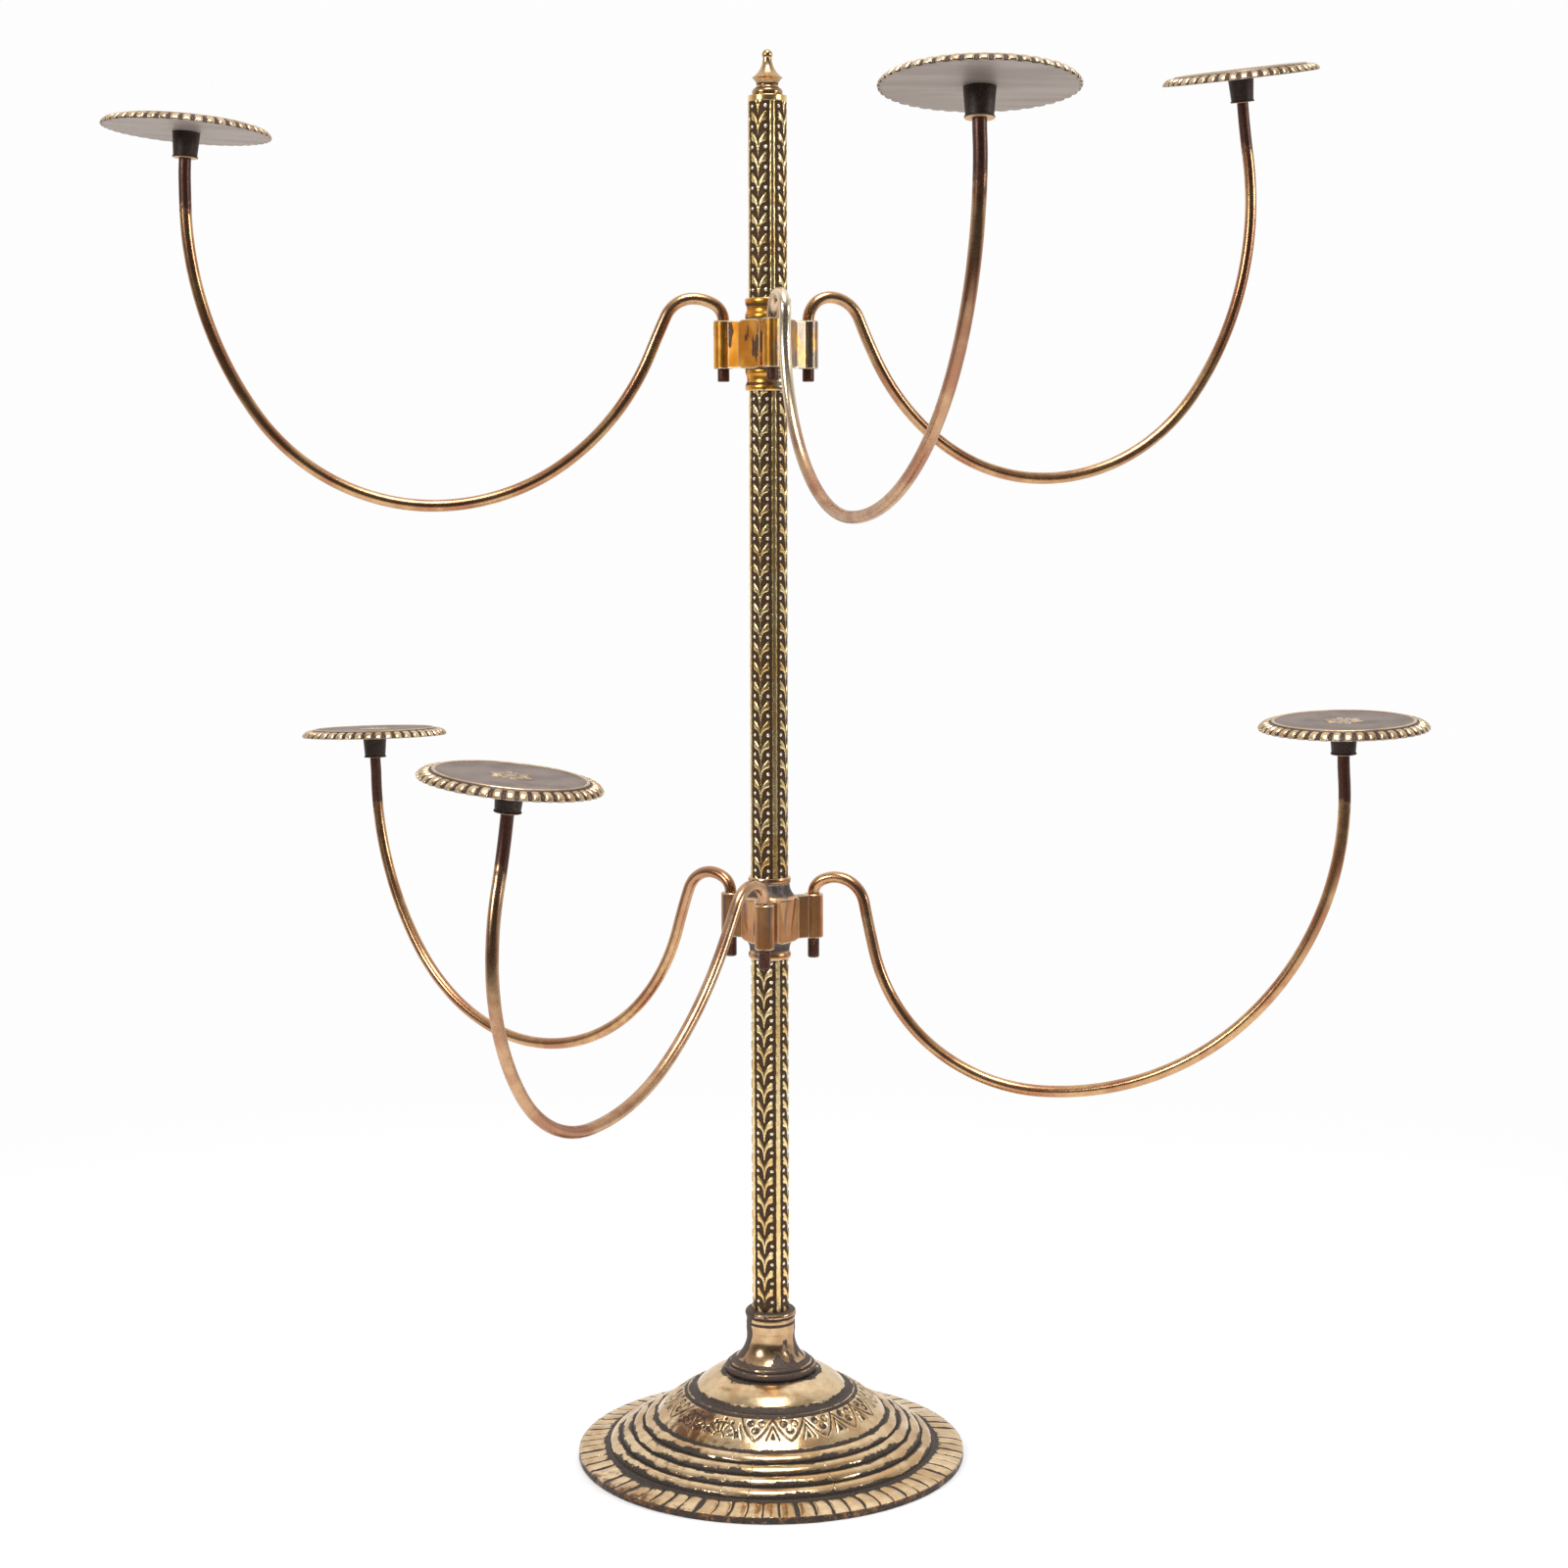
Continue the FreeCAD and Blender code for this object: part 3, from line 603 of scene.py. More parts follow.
def neck_dirt(finish):
    """Level lines, and drips, which are clouds drawn out upright and thicker on the collar."""
    lines = bands(
        (dome_top + 1.8, 2.0, 0.95), (dome_top + 4.3, 0.5, 1.0), (dome_top + 6.4, 0.9, 1.0),
        (neck_top - 6.7, 0.8, 1.0), (neck_top - 3.2, 0.8, 1.0), (neck_top, 0.8, 0.9),
    )(finish)
    drips = between(finish, noise(finish, 66, 3, stretch=(1, 1, 0.3)), 0.43, 0.56, 0.0, 0.9)
    collar = between(finish, height_in(finish), (neck_top - collar_height) * MM, neck_top * MM, 0.0, 0.4)
    return maths(finish, "MAXIMUM", lines, maths(finish, "ADD", drips, collar))


dress("socket_neck", aged_brass(
    "neck_brass", (0.70, 0.48, 0.27, 1), (0.42, 0.25, 0.135, 1), (0.125, 0.085, 0.068, 1), neck_dirt,
    gloss=0.16, waves=0.3, ragged=0.5,
))

# -------- column
# Three lengths of brass tube pressed with a running leaf: four plain strips, and between them a stem
# with a curled leaf and a round berry on each side. The ground is dark and the relief rubbed bright,
# and the berries are painted near-white as a painted highlight.
# The tie rod runs up inside, and each length is seated in the neck or in a hub.
tube_radius = 9.5
tube_bore = 7.0
ground_depth = 0.28
strip_height = 0.35
strip_width = 2.2
strip_count = 4
leaf_pitch = 10.0
leaf_relief = 0.5
leaf_fork = (0.15, 1.6)
leaf_tip = (4.1, 7.7)
leaf_curl = 1.8
leaf_foot = -0.5
leaf_outer_edge = 4.45
leaf_shoulder = 0.55
leaf_notch = 0.2
berry_across = 3.95
berry_radius = 0.95
hollow_radius = 3.0
knob_place = -1.15
tail_end = -5.8
tube_columns = 160
plain_end = 3.1


def running_leaf(across, up):
    """How far the relief stands out, 0 to 1, at places across a panel and up it, measured from a berry,
    and where the berries are. A leaf fills what lies outside a round hollow about the berry, within a
    wavy outer edge, and outside its inner edge, which curls away from the stem as a power of the climb
    from the fork to the tip. Its shoulder is rounded by the least of those three distances. Below the
    fork the stem swells to a knob and runs out in a tail."""
    side = np.abs(across)
    level = (up / leaf_pitch - np.floor(up / leaf_pitch)) * leaf_pitch
    relief = 0 * side + 0 * level
    berries = 0 * side + 0 * level
    for shift in (-leaf_pitch, 0.0, leaf_pitch):
        above = level + shift
        from_berry = np.hypot(side - berry_across, above)
        climb = np.clip((above - leaf_fork[1]) / (leaf_tip[1] - leaf_fork[1]), 0, 2)
        inner_edge = leaf_fork[0] + (leaf_tip[0] - leaf_fork[0]) * climb ** leaf_curl
        outer_edge = leaf_outer_edge + leaf_notch * np.sin(above * 3.1 + 0.6)
        inside = np.minimum.reduce([
            from_berry - hollow_radius, (side - inner_edge) * 0.8, outer_edge - side,
            above - leaf_foot + 0 * side,
        ])
        leaf = np.sqrt(1 - (1 - np.clip(inside / leaf_shoulder, 0, 1)) ** 2)
        veins = 0.14 * np.cos((side - above * 0.8) * 6.0) * (inside > 0.3)
        knob = np.clip(1.6 - 1.7 * side - np.abs(above - knob_place), 0, 1) ** 0.6
        tail_width = 0.05 + 0.42 * np.clip((above - tail_end) / 4.5, 0, 1)
        tail = np.clip(1.2 - side / tail_width, 0, 1) ** 0.6 * (above > tail_end) * (above < 0.6)
        berry = np.sqrt(np.clip(1 - (from_berry / berry_radius) ** 2, 0, 1))
        relief = np.maximum.reduce([relief, leaf - veins, 0.9 * knob, 0.85 * tail, 1.2 * berry])
        berries = np.maximum(berries, berry)
    return relief, berries


def pressed_tube(name, turn, count, leaf_start, plain_top=0.0):
    """A tube of the CAD length with a plain bore. Its radius is the ground's, plus the leaf, plus strips
    whose width wavers as a product of two sines of the height, plus a little seeded roughness."""
    low, high = (corner.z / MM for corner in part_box(name))
    angles = np.linspace(0, 2 * math.pi, tube_columns, endpoint=False)
    heights = np.linspace(low, high, count)
    panel = 360 / strip_count
    from_strip = (np.degrees(angles) + 90 - turn) % panel
    across = np.radians(from_strip - panel / 2) * tube_radius
    to_strip = np.radians(np.minimum(from_strip, panel - from_strip)) * tube_radius
    uneven = 0.16 * np.sin(heights * 0.9)[:, None] * np.sin(heights * 0.37 + 1)[:, None]
    strip = np.clip((strip_width / 2 + 0.25 + uneven - to_strip[None, :]) / 0.35, 0, 1)
    leaf, berries = running_leaf(across[None, :], heights[:, None] - leaf_start)
    leaf = leaf * (to_strip > strip_width / 2 + 0.35)
    rough = np.random.default_rng(int(low)).normal(0, 0.022, (count, tube_columns))
    plain = (heights > high - plain_top)[:, None] * 1.0
    radius = tube_radius - ground_depth + leaf_relief * leaf + (ground_depth + strip_height) * strip + rough
    radius = radius * (1 - plain) + (tube_radius + 0.1) * plain
    shown = np.maximum(np.maximum(leaf, strip * 0.95), plain * 0.9)
    bore = np.full((2, tube_columns), tube_bore)
    outline = (
        np.concatenate([radius, bore]),
        np.concatenate([heights[:, None] + 0 * radius, np.array([[high], [low]]) + 0 * bore]),
    )
    marks = {"relief": np.concatenate([shown, 0 * bore]), "berry": np.concatenate([berries, 0 * bore])}
    mesh_piece(
        name + "_pressed", "stand", revolve(outline, angles), True, marks, column_brass,
        (name,),
    )


def relief_dirt(finish):
    """Dirt in everything low, and smeared over the last stretch above the neck."""
    low_places = between(finish, mark("relief")(finish), 0.15, 0.75, 1.0, 0.05)
    foot = between(finish, height_in(finish), (neck_top + 3) * MM, (neck_top + 16) * MM, 0.45, 0.0)
    return maths(finish, "ADD", low_places, foot)


column_brass = aged_brass(
    "column_brass_pressed", (1.0, 0.80, 0.42, 1), (0.84, 0.55, 0.21, 1), (0.10, 0.05, 0.02, 1),
    relief_dirt, gloss=0.22, dull=0.5, waves=0.05, grit=0.03, ragged=0.3,
)
# painted highlight: the berries are tinted near-white cream, standing in for the light they catch
tint(column_brass, between(column_brass, mark("berry")(column_brass), 0.25, 0.75), (1.0, 0.93, 0.78, 1))
pressed_tube("column_lower", 26.0, 500, 4.0)
pressed_tube("column_middle", 18.0, 615, 2.0)
pressed_tube("column_upper", 15.0, 290, 6.0, plain_end)

# -------- hubs
# Two cast brass hubs, each with three bored lobes that take the arms. The upper one is orange gold with
# a grey stain and painted shade on its right; the lower one is a duller brown, with grey upright streaks
# of painted shade. Both have edges painted bright, partly as wear and partly as painted highlight.


def worn_and_highlit_edges(finish, colour, width):
    """Edges painted bright, partly as wear and partly as a painted highlight: places where a rounding of
    the given width would turn the surface.
    """
    flat = put(finish, "NewGeometry").outputs["Normal"]
    rounded = put(finish, "Bevel", {"Radius": width * MM}, samples=8)
    same = put(finish, "VectorMath", {0: flat, 1: rounded}, operation="DOT_PRODUCT").outputs["Value"]
    tint(finish, between(finish, same, 0.997, 0.95, 0.0, 0.95), colour)


def hub_brass(name, gold, warm, patina, lines, drips, edge_wear_and_highlight_gold, stain_and_shade, stain_and_shade_places):
    """Brass with upright file marks and streaks, dirt in level lines and drips, a grey colour on the places
    that the mask function gives, which is partly stain and partly painted shade, and edges painted bright
    as wear and painted highlight."""
    def dirt(finish):
        """Lines and drips together."""
        drip = noise(finish, 95, 4, stretch=(1, 1, 0.35))
        return maths(finish, "MAXIMUM", bands(*lines)(finish), between(finish, drip, *drips, 0.0, 0.8))
    finish = aged_brass(
        name, gold, warm, patina, dirt, gloss=0.24, dull=0.45, waves=0.1, scratches=0.04, ragged=0.35,
        grain=(1, 1, 0.22),
    )
    # a grey colour laid by the mask: partly a stain, partly painted shade
    tint(finish, stain_and_shade_places(finish), stain_and_shade)
    # edges painted bright: partly wear, partly a painted highlight where a rounded edge would catch light
    worn_and_highlit_edges(finish, edge_wear_and_highlight_gold, 1.1)
    return finish


# used on the upper hub: its grey on the right side is partly a stain and partly painted shade
def right_hand_patches(finish):
    """Patches on the side towards +X."""
    aside = put(finish, "SeparateXYZ", {0: put(finish, "TexCoord").outputs["Object"]}).outputs[0]
    there = between(finish, aside, -1 * MM, 7 * MM)
    patches = between(finish, noise(finish, 130, 4, stretch=(1, 1, 0.5)), 0.36, 0.54, 0.15, 0.85)
    return maths(finish, "MULTIPLY", there, patches)


# painted shade: grey upright streaks, used on the lower hub
def upright_streaks(finish):
    """Narrow upright streaks all round."""
    return between(finish, noise(finish, 120, 3, stretch=(1, 1, 0.06)), 0.54, 0.62, 0.0, 0.75)


# each hub's grey colour and mask: painted shade streaks on the lower hub, stain and painted shade on the
# upper hub's right
for hub, gold, warm, patina, lines, drips, edge_wear_and_highlight_gold, stain_and_shade, stain_and_shade_places in (
    (
        "hub_lower", (0.64, 0.34, 0.155, 1), (0.46, 0.205, 0.085, 1), (0.12, 0.095, 0.09, 1),
        ((-3.4, 1.0, 0.8), (-7.0, 3.0, 0.95), (6.4, 2.6, 0.8)), (0.60, 0.72), (1.0, 0.88, 0.62, 1),
        (0.20, 0.17, 0.17, 1), upright_streaks,
    ),
    (
        "hub_upper", (1.0, 0.53, 0.11, 1), (0.64, 0.235, 0.018, 1), (0.17, 0.075, 0.03, 1),
        ((-3.4, 0.9, 0.9), (-10.4, 0.8, 0.95), (3.4, 0.9, 0.9), (11.0, 0.8, 0.95)), (0.54, 0.66),
        (1.0, 0.84, 0.55, 1), (0.27, 0.27, 0.25, 1), right_hand_patches,
    ),
):
    low, high = (corner.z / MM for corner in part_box(hub))
    # a height below 0 is measured down from the hub's top, and one above 0 up from its bottom
    level_lines = [((high if z < 0 else low) + z, half, dark) for z, half, dark in lines]
    dress(hub, hub_brass(
        hub + "_brass", gold, warm, patina, level_lines, drips, edge_wear_and_highlight_gold, stain_and_shade, stain_and_shade_places,
    ))

# -------- finial and fasteners
# A bright turned knob screws onto the tie rod and clamps the whole stack. The rod, its nut and the two
# washers under the base are plain steel with a dull grey skin.
finial_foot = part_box("column_upper")[1].z / MM
finial_lines = ((0.2, 0.5, 0.9), (3.4, 0.5, 0.9), (5.6, 0.4, 0.9))
dress("finial", aged_brass(
    "finial_brass", (0.70, 0.49, 0.26, 1), (0.48, 0.29, 0.14, 1), (0.09, 0.06, 0.04, 1),
    bands(*[(finial_foot + z, half, dark) for z, half, dark in finial_lines]), gloss=0.2, waves=0.06,
))


def rust_spots(finish):
    """Small brown spots."""
    return between(finish, noise(finish, 260, 5), 0.56, 0.7, 0.0, 0.8)


steel = aged_brass(
    "steel_dull", (0.42, 0.42, 0.41, 1), (0.33, 0.32, 0.31, 1), (0.12, 0.08, 0.05, 1), rust_spots,
    gloss=0.34, dull=0.6, waves=0.02,
)
for node in ("tie_rod", "clamp_washer", "lock_washer", "base_nut"):
    dress(node, steel)

# -------- arms and cups
# Each arm is one brass rod bent by hand, whose straight pin stands loose in its lobe of the hub. The two
# front rods are redder, and every rod turns nearly black towards its cup, where candle heat and smoke
# have reached it. The turned cup is pressed on the rod's end, as dark, with a bright face underneath.
rod_radius = 3.0
rod_columns = 32
rod_step = 1.6
pin_chamfer = 0.4
cup_rod_seat = 7.0
smoked_length = 54.0
highlight_middle = 45.0
highlight_half = 42.0
pin_dirt_fade = 3.0
# how far each hub's mouths are below its top, how tall its body is and how far the pins stand out below
hub_heights = {"upper": (10.6, 24.2, 6.5), "lower": (10.7, 23.0, 10.5)}
# turn is a rod's heading about the column. The other values are places along it, out from its socket
# and up from the socket's mouth: the top of its crook, a place on the way down with the angle that it
# falls at, the bottom of its sweep, the place where it stands upright again, and the end that meets
# the cup. lean is how far the cup tips towards +X and +Y, in degrees. The last value, where given, is
# how strong a painted highlight lies on the rod below the crook: a pale tint standing in for a bright
# reflection.
arms = {
    "upper_left": dict(
        turn=189.0, crook=(15.5, 11.0), fall=(37.0, -15.5, 67.5), sweep=(147.0, -92.5),
        upright=(266.0, 55.0), end=(265.5, 77.5), lean=(4.0, 2.5),
    ),
    "upper_front": dict(
        turn=288.0, crook=(10.5, 11.5), fall=(20.5, -20.0, 80.0), sweep=(114.0, -95.5),
        upright=(269.0, 52.0), end=(268.0, 67.5), lean=(0.5, 7.5), wear_and_highlight=0.95,
    ),
    "upper_right": dict(
        turn=18.0, crook=(11.5, 12.0), fall=(37.0, -19.5, 63.0), sweep=(131.0, -80.5),
        upright=(249.5, 62.0), end=(243.5, 117.0), lean=(-6.5, -7.0),
    ),
    "lower_left": dict(
        turn=142.0, crook=(13.0, 9.5), fall=(36.0, -22.5, 72.5), sweep=(142.5, -98.5),
        upright=(262.5, 43.0), end=(263.0, 53.0), lean=(-1.0, 3.0),
    ),
    "lower_front": dict(
        turn=239.0, crook=(12.0, 11.5), fall=(38.5, -13.5, 55.0), sweep=(157.0, -82.5),
        upright=(230.5, 5.0), end=(217.5, 72.5), lean=(6.5, -2.0),
    ),
    "lower_right": dict(
        turn=342.0, crook=(12.0, 9.0), fall=(33.0, -29.0, 76.5), sweep=(121.0, -96.5),
        upright=(271.0, 58.0), end=(270.0, 81.5), lean=(-1.5, -2.5),
    ),
}
up = np.array([0.0, 0.0, 1.0])


def unit(way):
    """The same direction at length 1."""
    return way / np.linalg.norm(way)


def arc(start, way, end):
    """Places and headings along the arc that leaves start along way and ends at end. It turns through
    twice the angle between its first heading and its chord, so its radius is half the chord over the
    sine of that angle."""
    chord = end - start
    length = np.linalg.norm(chord)
    angle = math.acos(min(1.0, way @ chord / length))
    if angle < 1e-4:
        share = np.linspace(0, 1, int(length / rod_step) + 2)[:, None]
        return start + chord * share, way + 0 * share
    radius = length / 2 / math.sin(angle)
    turn = np.linspace(0, 2 * angle, int(2 * angle * radius / rod_step) + 2)[:, None]
    inward = unit(chord - way * (way @ chord))
    places = start + way * radius * np.sin(turn) + inward * radius * (1 - np.cos(turn))
    return places, way * np.cos(turn) + inward * np.sin(turn)


def arc_pair(start, start_way, end, end_way):
    """Two arcs of equal tangent length, one leaving start along start_way and one coming to end along
    end_way. The tangent length solves a quadratic in the gap between the ends."""
    gap = end - start
    a = 2 * (1 - start_way @ end_way)
    b = 2 * gap @ (start_way + end_way)
    reach = 2 * (gap @ gap) / (b + math.sqrt(b * b + 4 * a * (gap @ gap)))
    joint = ((start + start_way * reach) + (end - end_way * reach)) / 2
    there, heading = arc(start, start_way, joint)
    back, heading_back = arc(end, -end_way, joint)
    return np.concatenate([there, back[-2::-1]]), np.concatenate([heading, -heading_back[-2::-1]])


def bent_rod(name, socket):
    """A round section carried along the rod's arcs, square to their headings, from the chamfered pin
    to the end inside the cup. The marks are the smoke over its last stretch with the dirt on its
    pin, and a painted highlight on the way down from its crook: a pale tint standing in for a bright
    reflection."""
    bends = arms[name]
    hub = name.split("_")[0]
    below_top, body_height, projection = hub_heights[hub]
    mouth = np.array([socket[0] / MM, socket[1] / MM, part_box("hub_" + hub)[1].z / MM - below_top])
    turn, fall = math.radians(bends["turn"]), math.radians(bends["fall"][2])
    outward = np.array([math.cos(turn), math.sin(turn), 0.0])
    lean = np.sin(np.radians(bends["lean"]))
    cup_way = np.array([lean[0], lean[1], math.sqrt(1 - lean @ lean)])
    place = {key: mouth + outward * bends[key][0] + up * bends[key][1] for key in (
        "crook", "fall", "sweep", "upright", "end",
    )}
    stations = [
        (mouth, up), (place["crook"], outward),
        (place["fall"], outward * math.cos(fall) - up * math.sin(fall)),
        (place["sweep"], outward), (place["upright"], up), (place["end"], cup_way),
    ]
    pin_bottom = mouth - up * (body_height + projection)
    runs = [arc(pin_bottom, up, mouth)]
    runs += [arc_pair(*first, *second) for first, second in zip(stations, stations[1:])]
    runs.append(arc(place["end"], cup_way, place["end"] + cup_way * cup_rod_seat))
    places = np.concatenate([runs[0][0]] + [run[0][1:] for run in runs[1:]])
    headings = np.concatenate([runs[0][1]] + [run[1][1:] for run in runs[1:]])
    steps = np.linalg.norm(np.diff(places, axis=0), axis=1)
    along = np.concatenate([[0.0], np.cumsum(steps)])
    sideways = np.cross(outward, up)
    first = sideways - headings * (headings @ sideways)[:, None]
    first = first / np.linalg.norm(first, axis=1)[:, None]
    second = np.cross(headings, first)
    around = np.linspace(0, 2 * math.pi, rod_columns, endpoint=False)
    ring = first[:, None] * np.cos(around)[:, None] + second[:, None] * np.sin(around)[:, None]
    width = np.minimum(rod_radius, rod_radius - pin_chamfer + along)
    rows = places[:, None] + ring * width[:, None, None]
    start, end = places[:1, None] + 0 * ring[:1], places[-1:, None] + 0 * ring[:1]
    chamfered = rows[:1] + pin_chamfer * (up + ring[:1])
    rows = np.concatenate([start, rows[:1], chamfered, rows[1:], end])
    along = np.concatenate([[0.0, 0.0, pin_chamfer], along[1:], along[-1:]])
    to_cup = np.clip((along[-1] - cup_rod_seat - along) / smoked_length, 0, 1)
    pin = np.clip((body_height + projection - along) / pin_dirt_fade, 0, 1)
    dark = np.maximum(0.95 * (1 - to_cup ** 2 * (3 - 2 * to_cup)), 0.66 * pin)
    past_mouth = along - body_height - projection
    # painted highlight: how strongly the rod is tinted pale cream below the crook, standing in for a bright
    # reflection
    wear_and_highlight = bends.get("wear_and_highlight", 0.06) * bump_at(past_mouth - highlight_middle, highlight_half) * (past_mouth > 0)
    return rows * MM, {"hollow": dark[:, None] + 0 * around, "wear_and_highlight": wear_and_highlight[:, None] + 0 * around}


def underside(finish):
    """Where a surface faces down."""
    facing = put(finish, "SeparateXYZ", {0: put(finish, "NewGeometry").outputs["Normal"]}).outputs[2]
    return between(finish, facing, -0.35, -0.75)


def rod_brass(name, gold, warm):
    """Brass rubbed smooth along the rod, darkened by smoke towards the cup, with a pale painted highlight
    below the crook.
    """
    finish = aged_brass(
        name, gold, warm, (0.125, 0.05, 0.032, 1), mark("hollow"), gloss=0.2, dull=0.32, waves=0.06,
        grit=0.004, scratches=0.003, ragged=0.35, warm_patches=(0.4, 0.62),
    )
    # painted highlight: a pale cream tint that stands in for a bright reflection below the crook
    tint(finish, mark("wear_and_highlight")(finish), (1.0, 0.86, 0.64, 1))
    return finish


red_rod = rod_brass("rod_brass_red", (0.56, 0.35, 0.20, 1), (0.40, 0.195, 0.115, 1))
yellow_rod = rod_brass("rod_brass_yellow", (0.63, 0.385, 0.19, 1), (0.45, 0.21, 0.11, 1))
cup_bronze = aged_brass(
    "cup_bronze_smoked", (0.30, 0.19, 0.11, 1), (0.16, 0.095, 0.065, 1), (0.07, 0.047, 0.04, 1),
    0.66, gloss=0.28, dull=0.45, waves=0.04, ragged=0.3,
)
tint(cup_bronze, underside(cup_bronze), (0.75, 0.50, 0.30, 1))
for joint in frame["joints"]:
    name = joint["child"]
    rod_rows, rod_marks = bent_rod(name, joint["pos_m"])
    mesh_piece(
        name + "_rod_bent", name, rod_rows, False, rod_marks,
        red_rod if name.endswith("front") else yellow_rod, (name + "_arm",),
    )
    dress(name + "_cup", cup_bronze)
    dress(name + "_stud", steel)

# -------- dishes
# Six cast brass dishes, each held to its cup by a stud from below: a dark pan with a rubbed rosette in
# its middle, a raised bead, and a rounded rim cut into short tongues. The radius is a hair under the
# CAD's, so that the true circle stays within its facets.
dish_radius = 41.35
dish_floor = 3.8
dish_edge = 0.9
dish_edge_taper = 0.3
rim_width = 6.4
bead_width = 2.0
bead_height = 0.75
rim_groove = 0.3
rim_bulge = 1.3
rim_tongues = 44
tongue_slant = 0.06
tongue_depth = 1.1
tongue_share = 0.35
rosette_radius = 10.8
rosette_petals = 12
rosette_height = 0.35
rosette_eye = 3.2
rosette_vein_start = 4.0
underside_radii = (39.0, 25.0, 9.0, 0.0)
dish_spin = 0.9


def dish_grid():
    """Rows from the middle of the pan out over the bead and the rim and back under to the middle. The
    rosette's edge dips between petals as the square of the place across one, and bells are cut between
    petals, down each and round the eye. A tongue stands out as the square root of 1 − |across ÷
    share|⁴, and the gaps are cut inwards, leaning outwards at both edges of the rim."""
    columns = rim_tongues * 16
    angles = np.linspace(0, 2 * math.pi, columns, endpoint=False)
    ones = np.ones(columns)
    radius, height, relief, pan = [], [], [], []

    def add(r, z, stands, dark):
        """One row. stands is how much it is rubbed, and dark how much of it is pan."""
        radius.append(r * ones)
        height.append(z * ones)
        relief.append(stands * ones)
        pan.append(dark * ones)

    def tongue_pad(k):
        """How far the tongues stand out at k of the way across the rim."""
        cell = (angles * rim_tongues / (2 * math.pi) + tongue_slant * k) % 1 - 0.5
        return np.sqrt(np.clip(1 - np.abs(cell / tongue_share) ** 4, 0, 1))

    bead_outer = dish_radius - rim_width
    bead_inner = bead_outer - bead_width
    for r in np.concatenate([[0.0], np.linspace(0.8, rosette_radius + 0.6, 24)]):
        turn = angles * rosette_petals / (2 * math.pi)
        across = np.abs(turn % 1 - 0.5)
        gap = bump_at((0.5 - across) * r * 2 * math.pi / rosette_petals, 0.36)
        vein = 0.6 * bump_at(across * r * 2 * math.pi / rosette_petals, 0.2)
        tip = rosette_radius * (1.0 - 0.34 * (2 * across) ** 2) * (1 - 0.16 * (np.floor(turn) % 2))
        inside = np.clip((tip - r) / 0.7, 0, 1)
        eye_line = 0.9 * bump_at(r - rosette_eye, 0.45) + 0 * turn
        cuts = np.maximum.reduce([gap * (r > rosette_eye), vein * (r > rosette_vein_start), eye_line])
        stands = inside * (1 - cuts)
        add(r, dish_floor + rosette_height * stands, stands, 1.0)
    for r in np.linspace(rosette_radius + 3, bead_inner, 6):
        add(r, dish_floor + 0.25 * ((r - rosette_radius) / (bead_inner - rosette_radius)) ** 3, 0.0, 1.0)
    for k in np.linspace(0.12, 0.92, 7):
        lift = math.sin(math.pi * k) ** 0.8
        add(bead_inner + bead_width * k, dish_floor + bead_height * lift, lift, 1.0 - lift)
    start, end = np.array([bead_outer, dish_floor - rim_groove]), np.array([dish_radius, dish_edge])
    way = unit(end - start)
    out = np.array([-way[1], way[0]])
    for k in (1 - np.cos(np.linspace(0, math.pi, 17))) / 2:
        r, z = start + (end - start) * k + out * rim_bulge * 4 * k * (1 - k)
        lean = unit(out + way * (2 * k - 1) * 1.1)
        pad = tongue_pad(k) * (min(1.0, (k * 7) ** 1.5) if k < 0.5 else 1.0)
        cut = tongue_depth * (1 - pad) * (0.35 + 0.65 * min(1.0, k * 4))
        add(r - lean[0] * cut, z - lean[1] * cut, pad, 0.0)
    add(dish_radius - dish_edge_taper - tongue_depth * (1 - tongue_pad(1.0)), 0.0, 0.3, 0.6)
    for r in underside_radii:
        add(r, 0.0, 0.25, 0.6)
    places = revolve((np.array(radius), np.array(height)), angles) / MM
    return places, {"relief": np.array(relief), "pan": np.array(pan)}


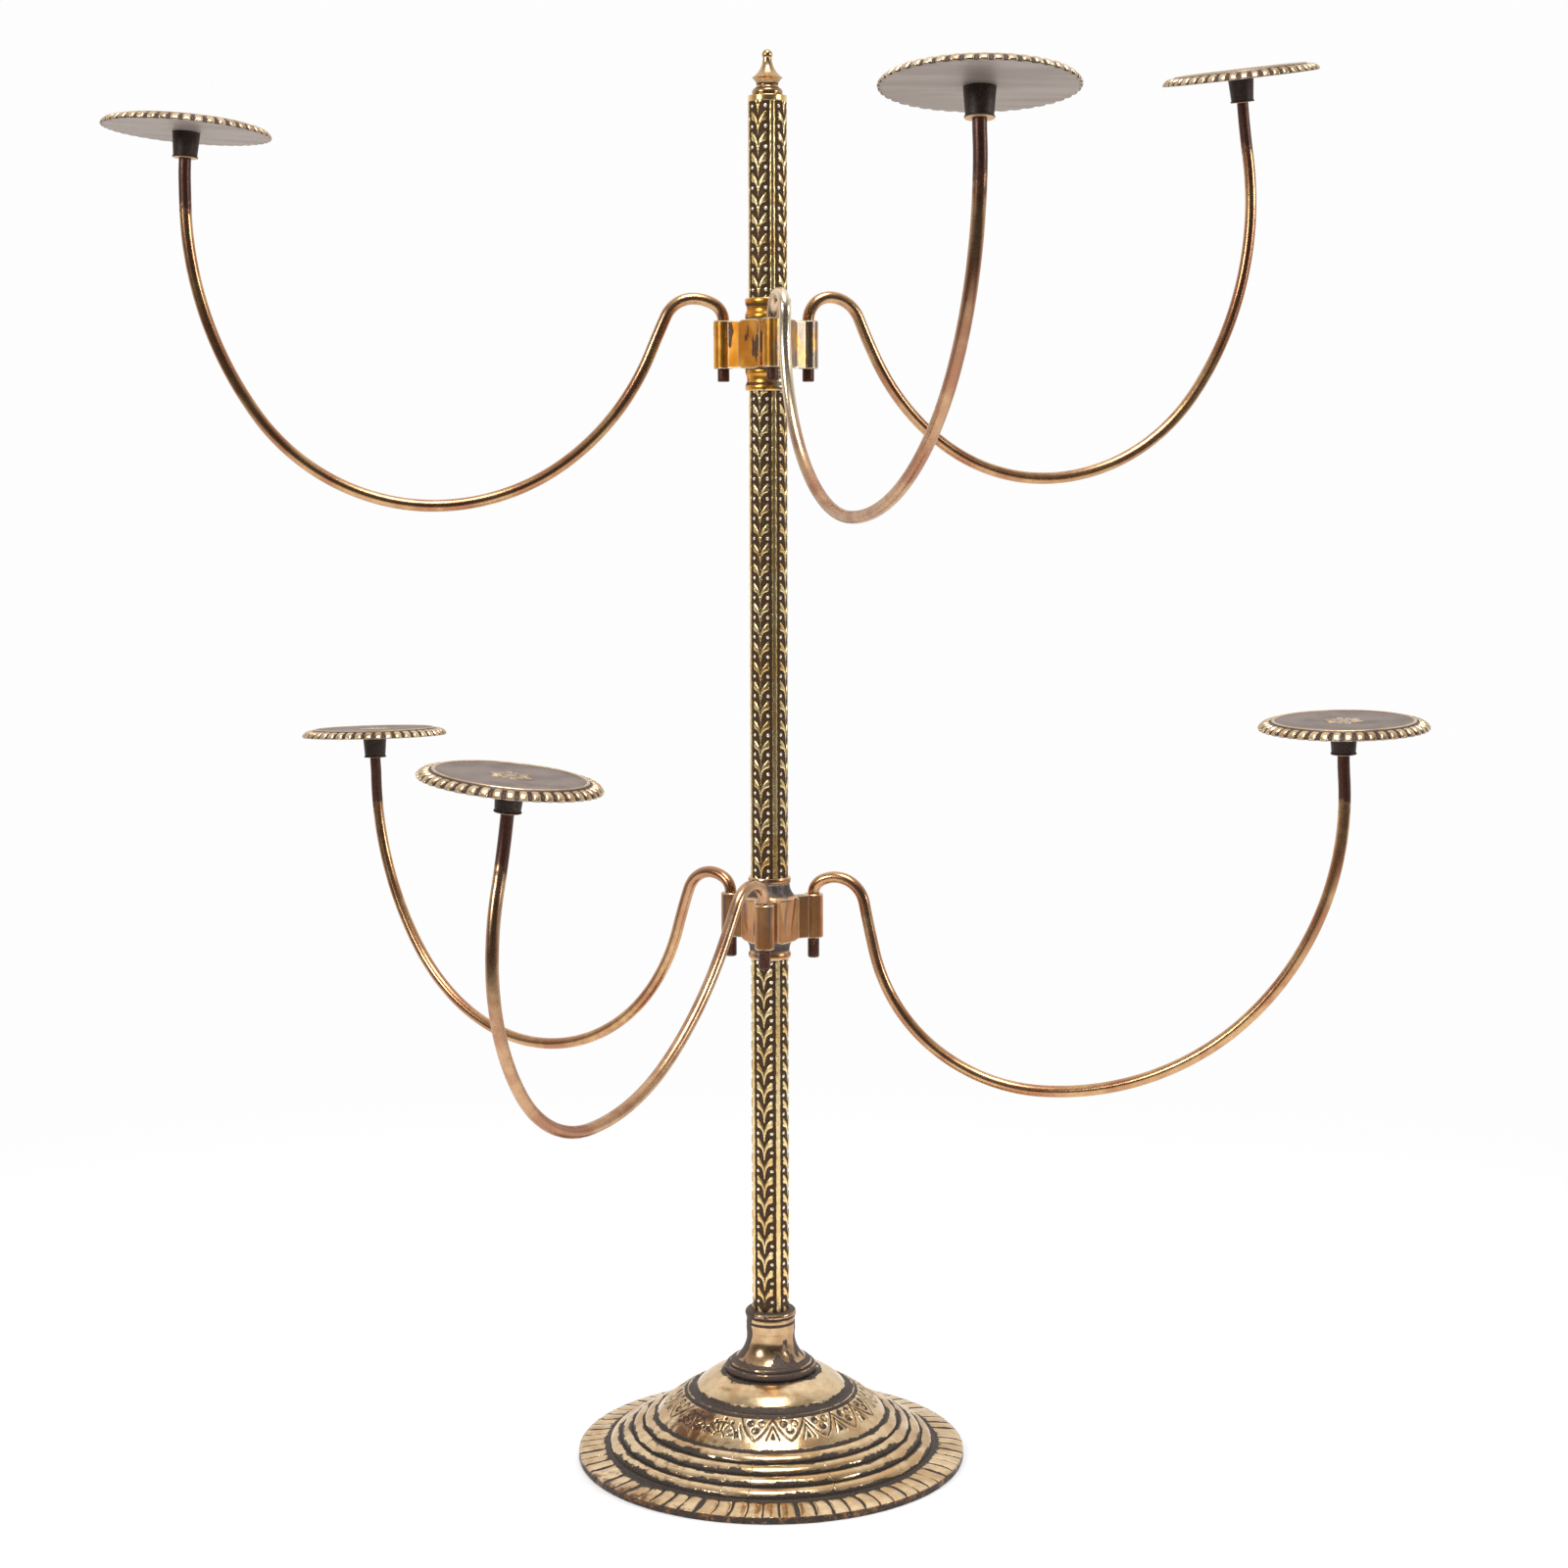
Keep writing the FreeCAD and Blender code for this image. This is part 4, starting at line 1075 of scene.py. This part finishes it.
def dish_brass(name):
    """Rubbed gold where the relief stands, dark brown between the tongues, a mauve-grey pan with faint
    clouds, and a paler grey underside with long soft streaks."""
    def dirt(finish):
        """Dirt where the relief doesn't stand out."""
        return between(finish, mark("relief")(finish), 0.2, 0.72, 1.0, 0.0)

    finish = aged_brass(
        name, (0.74, 0.56, 0.35, 1), (0.46, 0.31, 0.18, 1), (0.085, 0.05, 0.032, 1), dirt,
        gloss=0.2, dull=0.42, waves=0.06, grit=0.02, ragged=0.3,
    )
    worn = between(finish, noise(finish, 420, 4), 0.35, 0.65, 1.0, 0.7)
    wear_and_highlight = maths(finish, "MULTIPLY", between(finish, mark("relief")(finish), 0.3, 0.7), worn)
    low = maths(finish, "SUBTRACT", 1.0, wear_and_highlight)
    cloud = between(finish, noise(finish, 60, 4), 0.35, 0.7)
    grey = mixed(finish, cloud, (0.22, 0.165, 0.145, 1), (0.13, 0.092, 0.082, 1))
    flecks = between(finish, noise(finish, 700, 4), 0.55, 0.72, 0.0, 0.4)
    grey = mixed(finish, flecks, grey, (0.34, 0.26, 0.21, 1))
    tint(finish, maths(finish, "MULTIPLY", mark("pan")(finish), low), grey)
    streaks = between(finish, noise(finish, 90, 4, stretch=(0.15, 1, 1)), 0.35, 0.65)
    below = mixed(finish, streaks, (0.43, 0.365, 0.32, 1), (0.34, 0.28, 0.245, 1))
    tint(finish, underside(finish), below)
    return finish


dish_finish = dish_brass("dish_brass_cast")
grid, dish_marks = dish_grid()
for number, name in enumerate(arms):
    # a dish's axis is the direction in which its node is thinnest, and its underside the lowest place
    # along it; each dish has been screwed on at an angle of its own
    corners = np.zeros(len(nodes[name + "_dish"].data.vertices) * 3)
    nodes[name + "_dish"].data.vertices.foreach_get("co", corners)
    corners = corners.reshape(-1, 3)
    middle = (corners.min(0) + corners.max(0)) / 2
    axis = np.linalg.svd(corners - middle, full_matrices=False)[2][2]
    axis = axis * np.sign(axis[2])
    level = (corners @ axis).min()
    middle = middle + axis * (level - middle @ axis)
    aside = unit(np.cross(axis, (0.0, 1.0, 0.0)))
    frame_of_dish = np.stack([aside, np.cross(axis, aside), axis])
    spin = dish_spin * number
    cos, sin = math.cos(spin), math.sin(spin)
    turned = grid @ np.array([[cos, sin, 0], [-sin, cos, 0], [0, 0, 1]])
    mesh_piece(
        name + "_dish_cast", name, (turned * MM) @ frame_of_dish + middle, False, dish_marks, dish_finish,
        (name + "_dish",),
    )
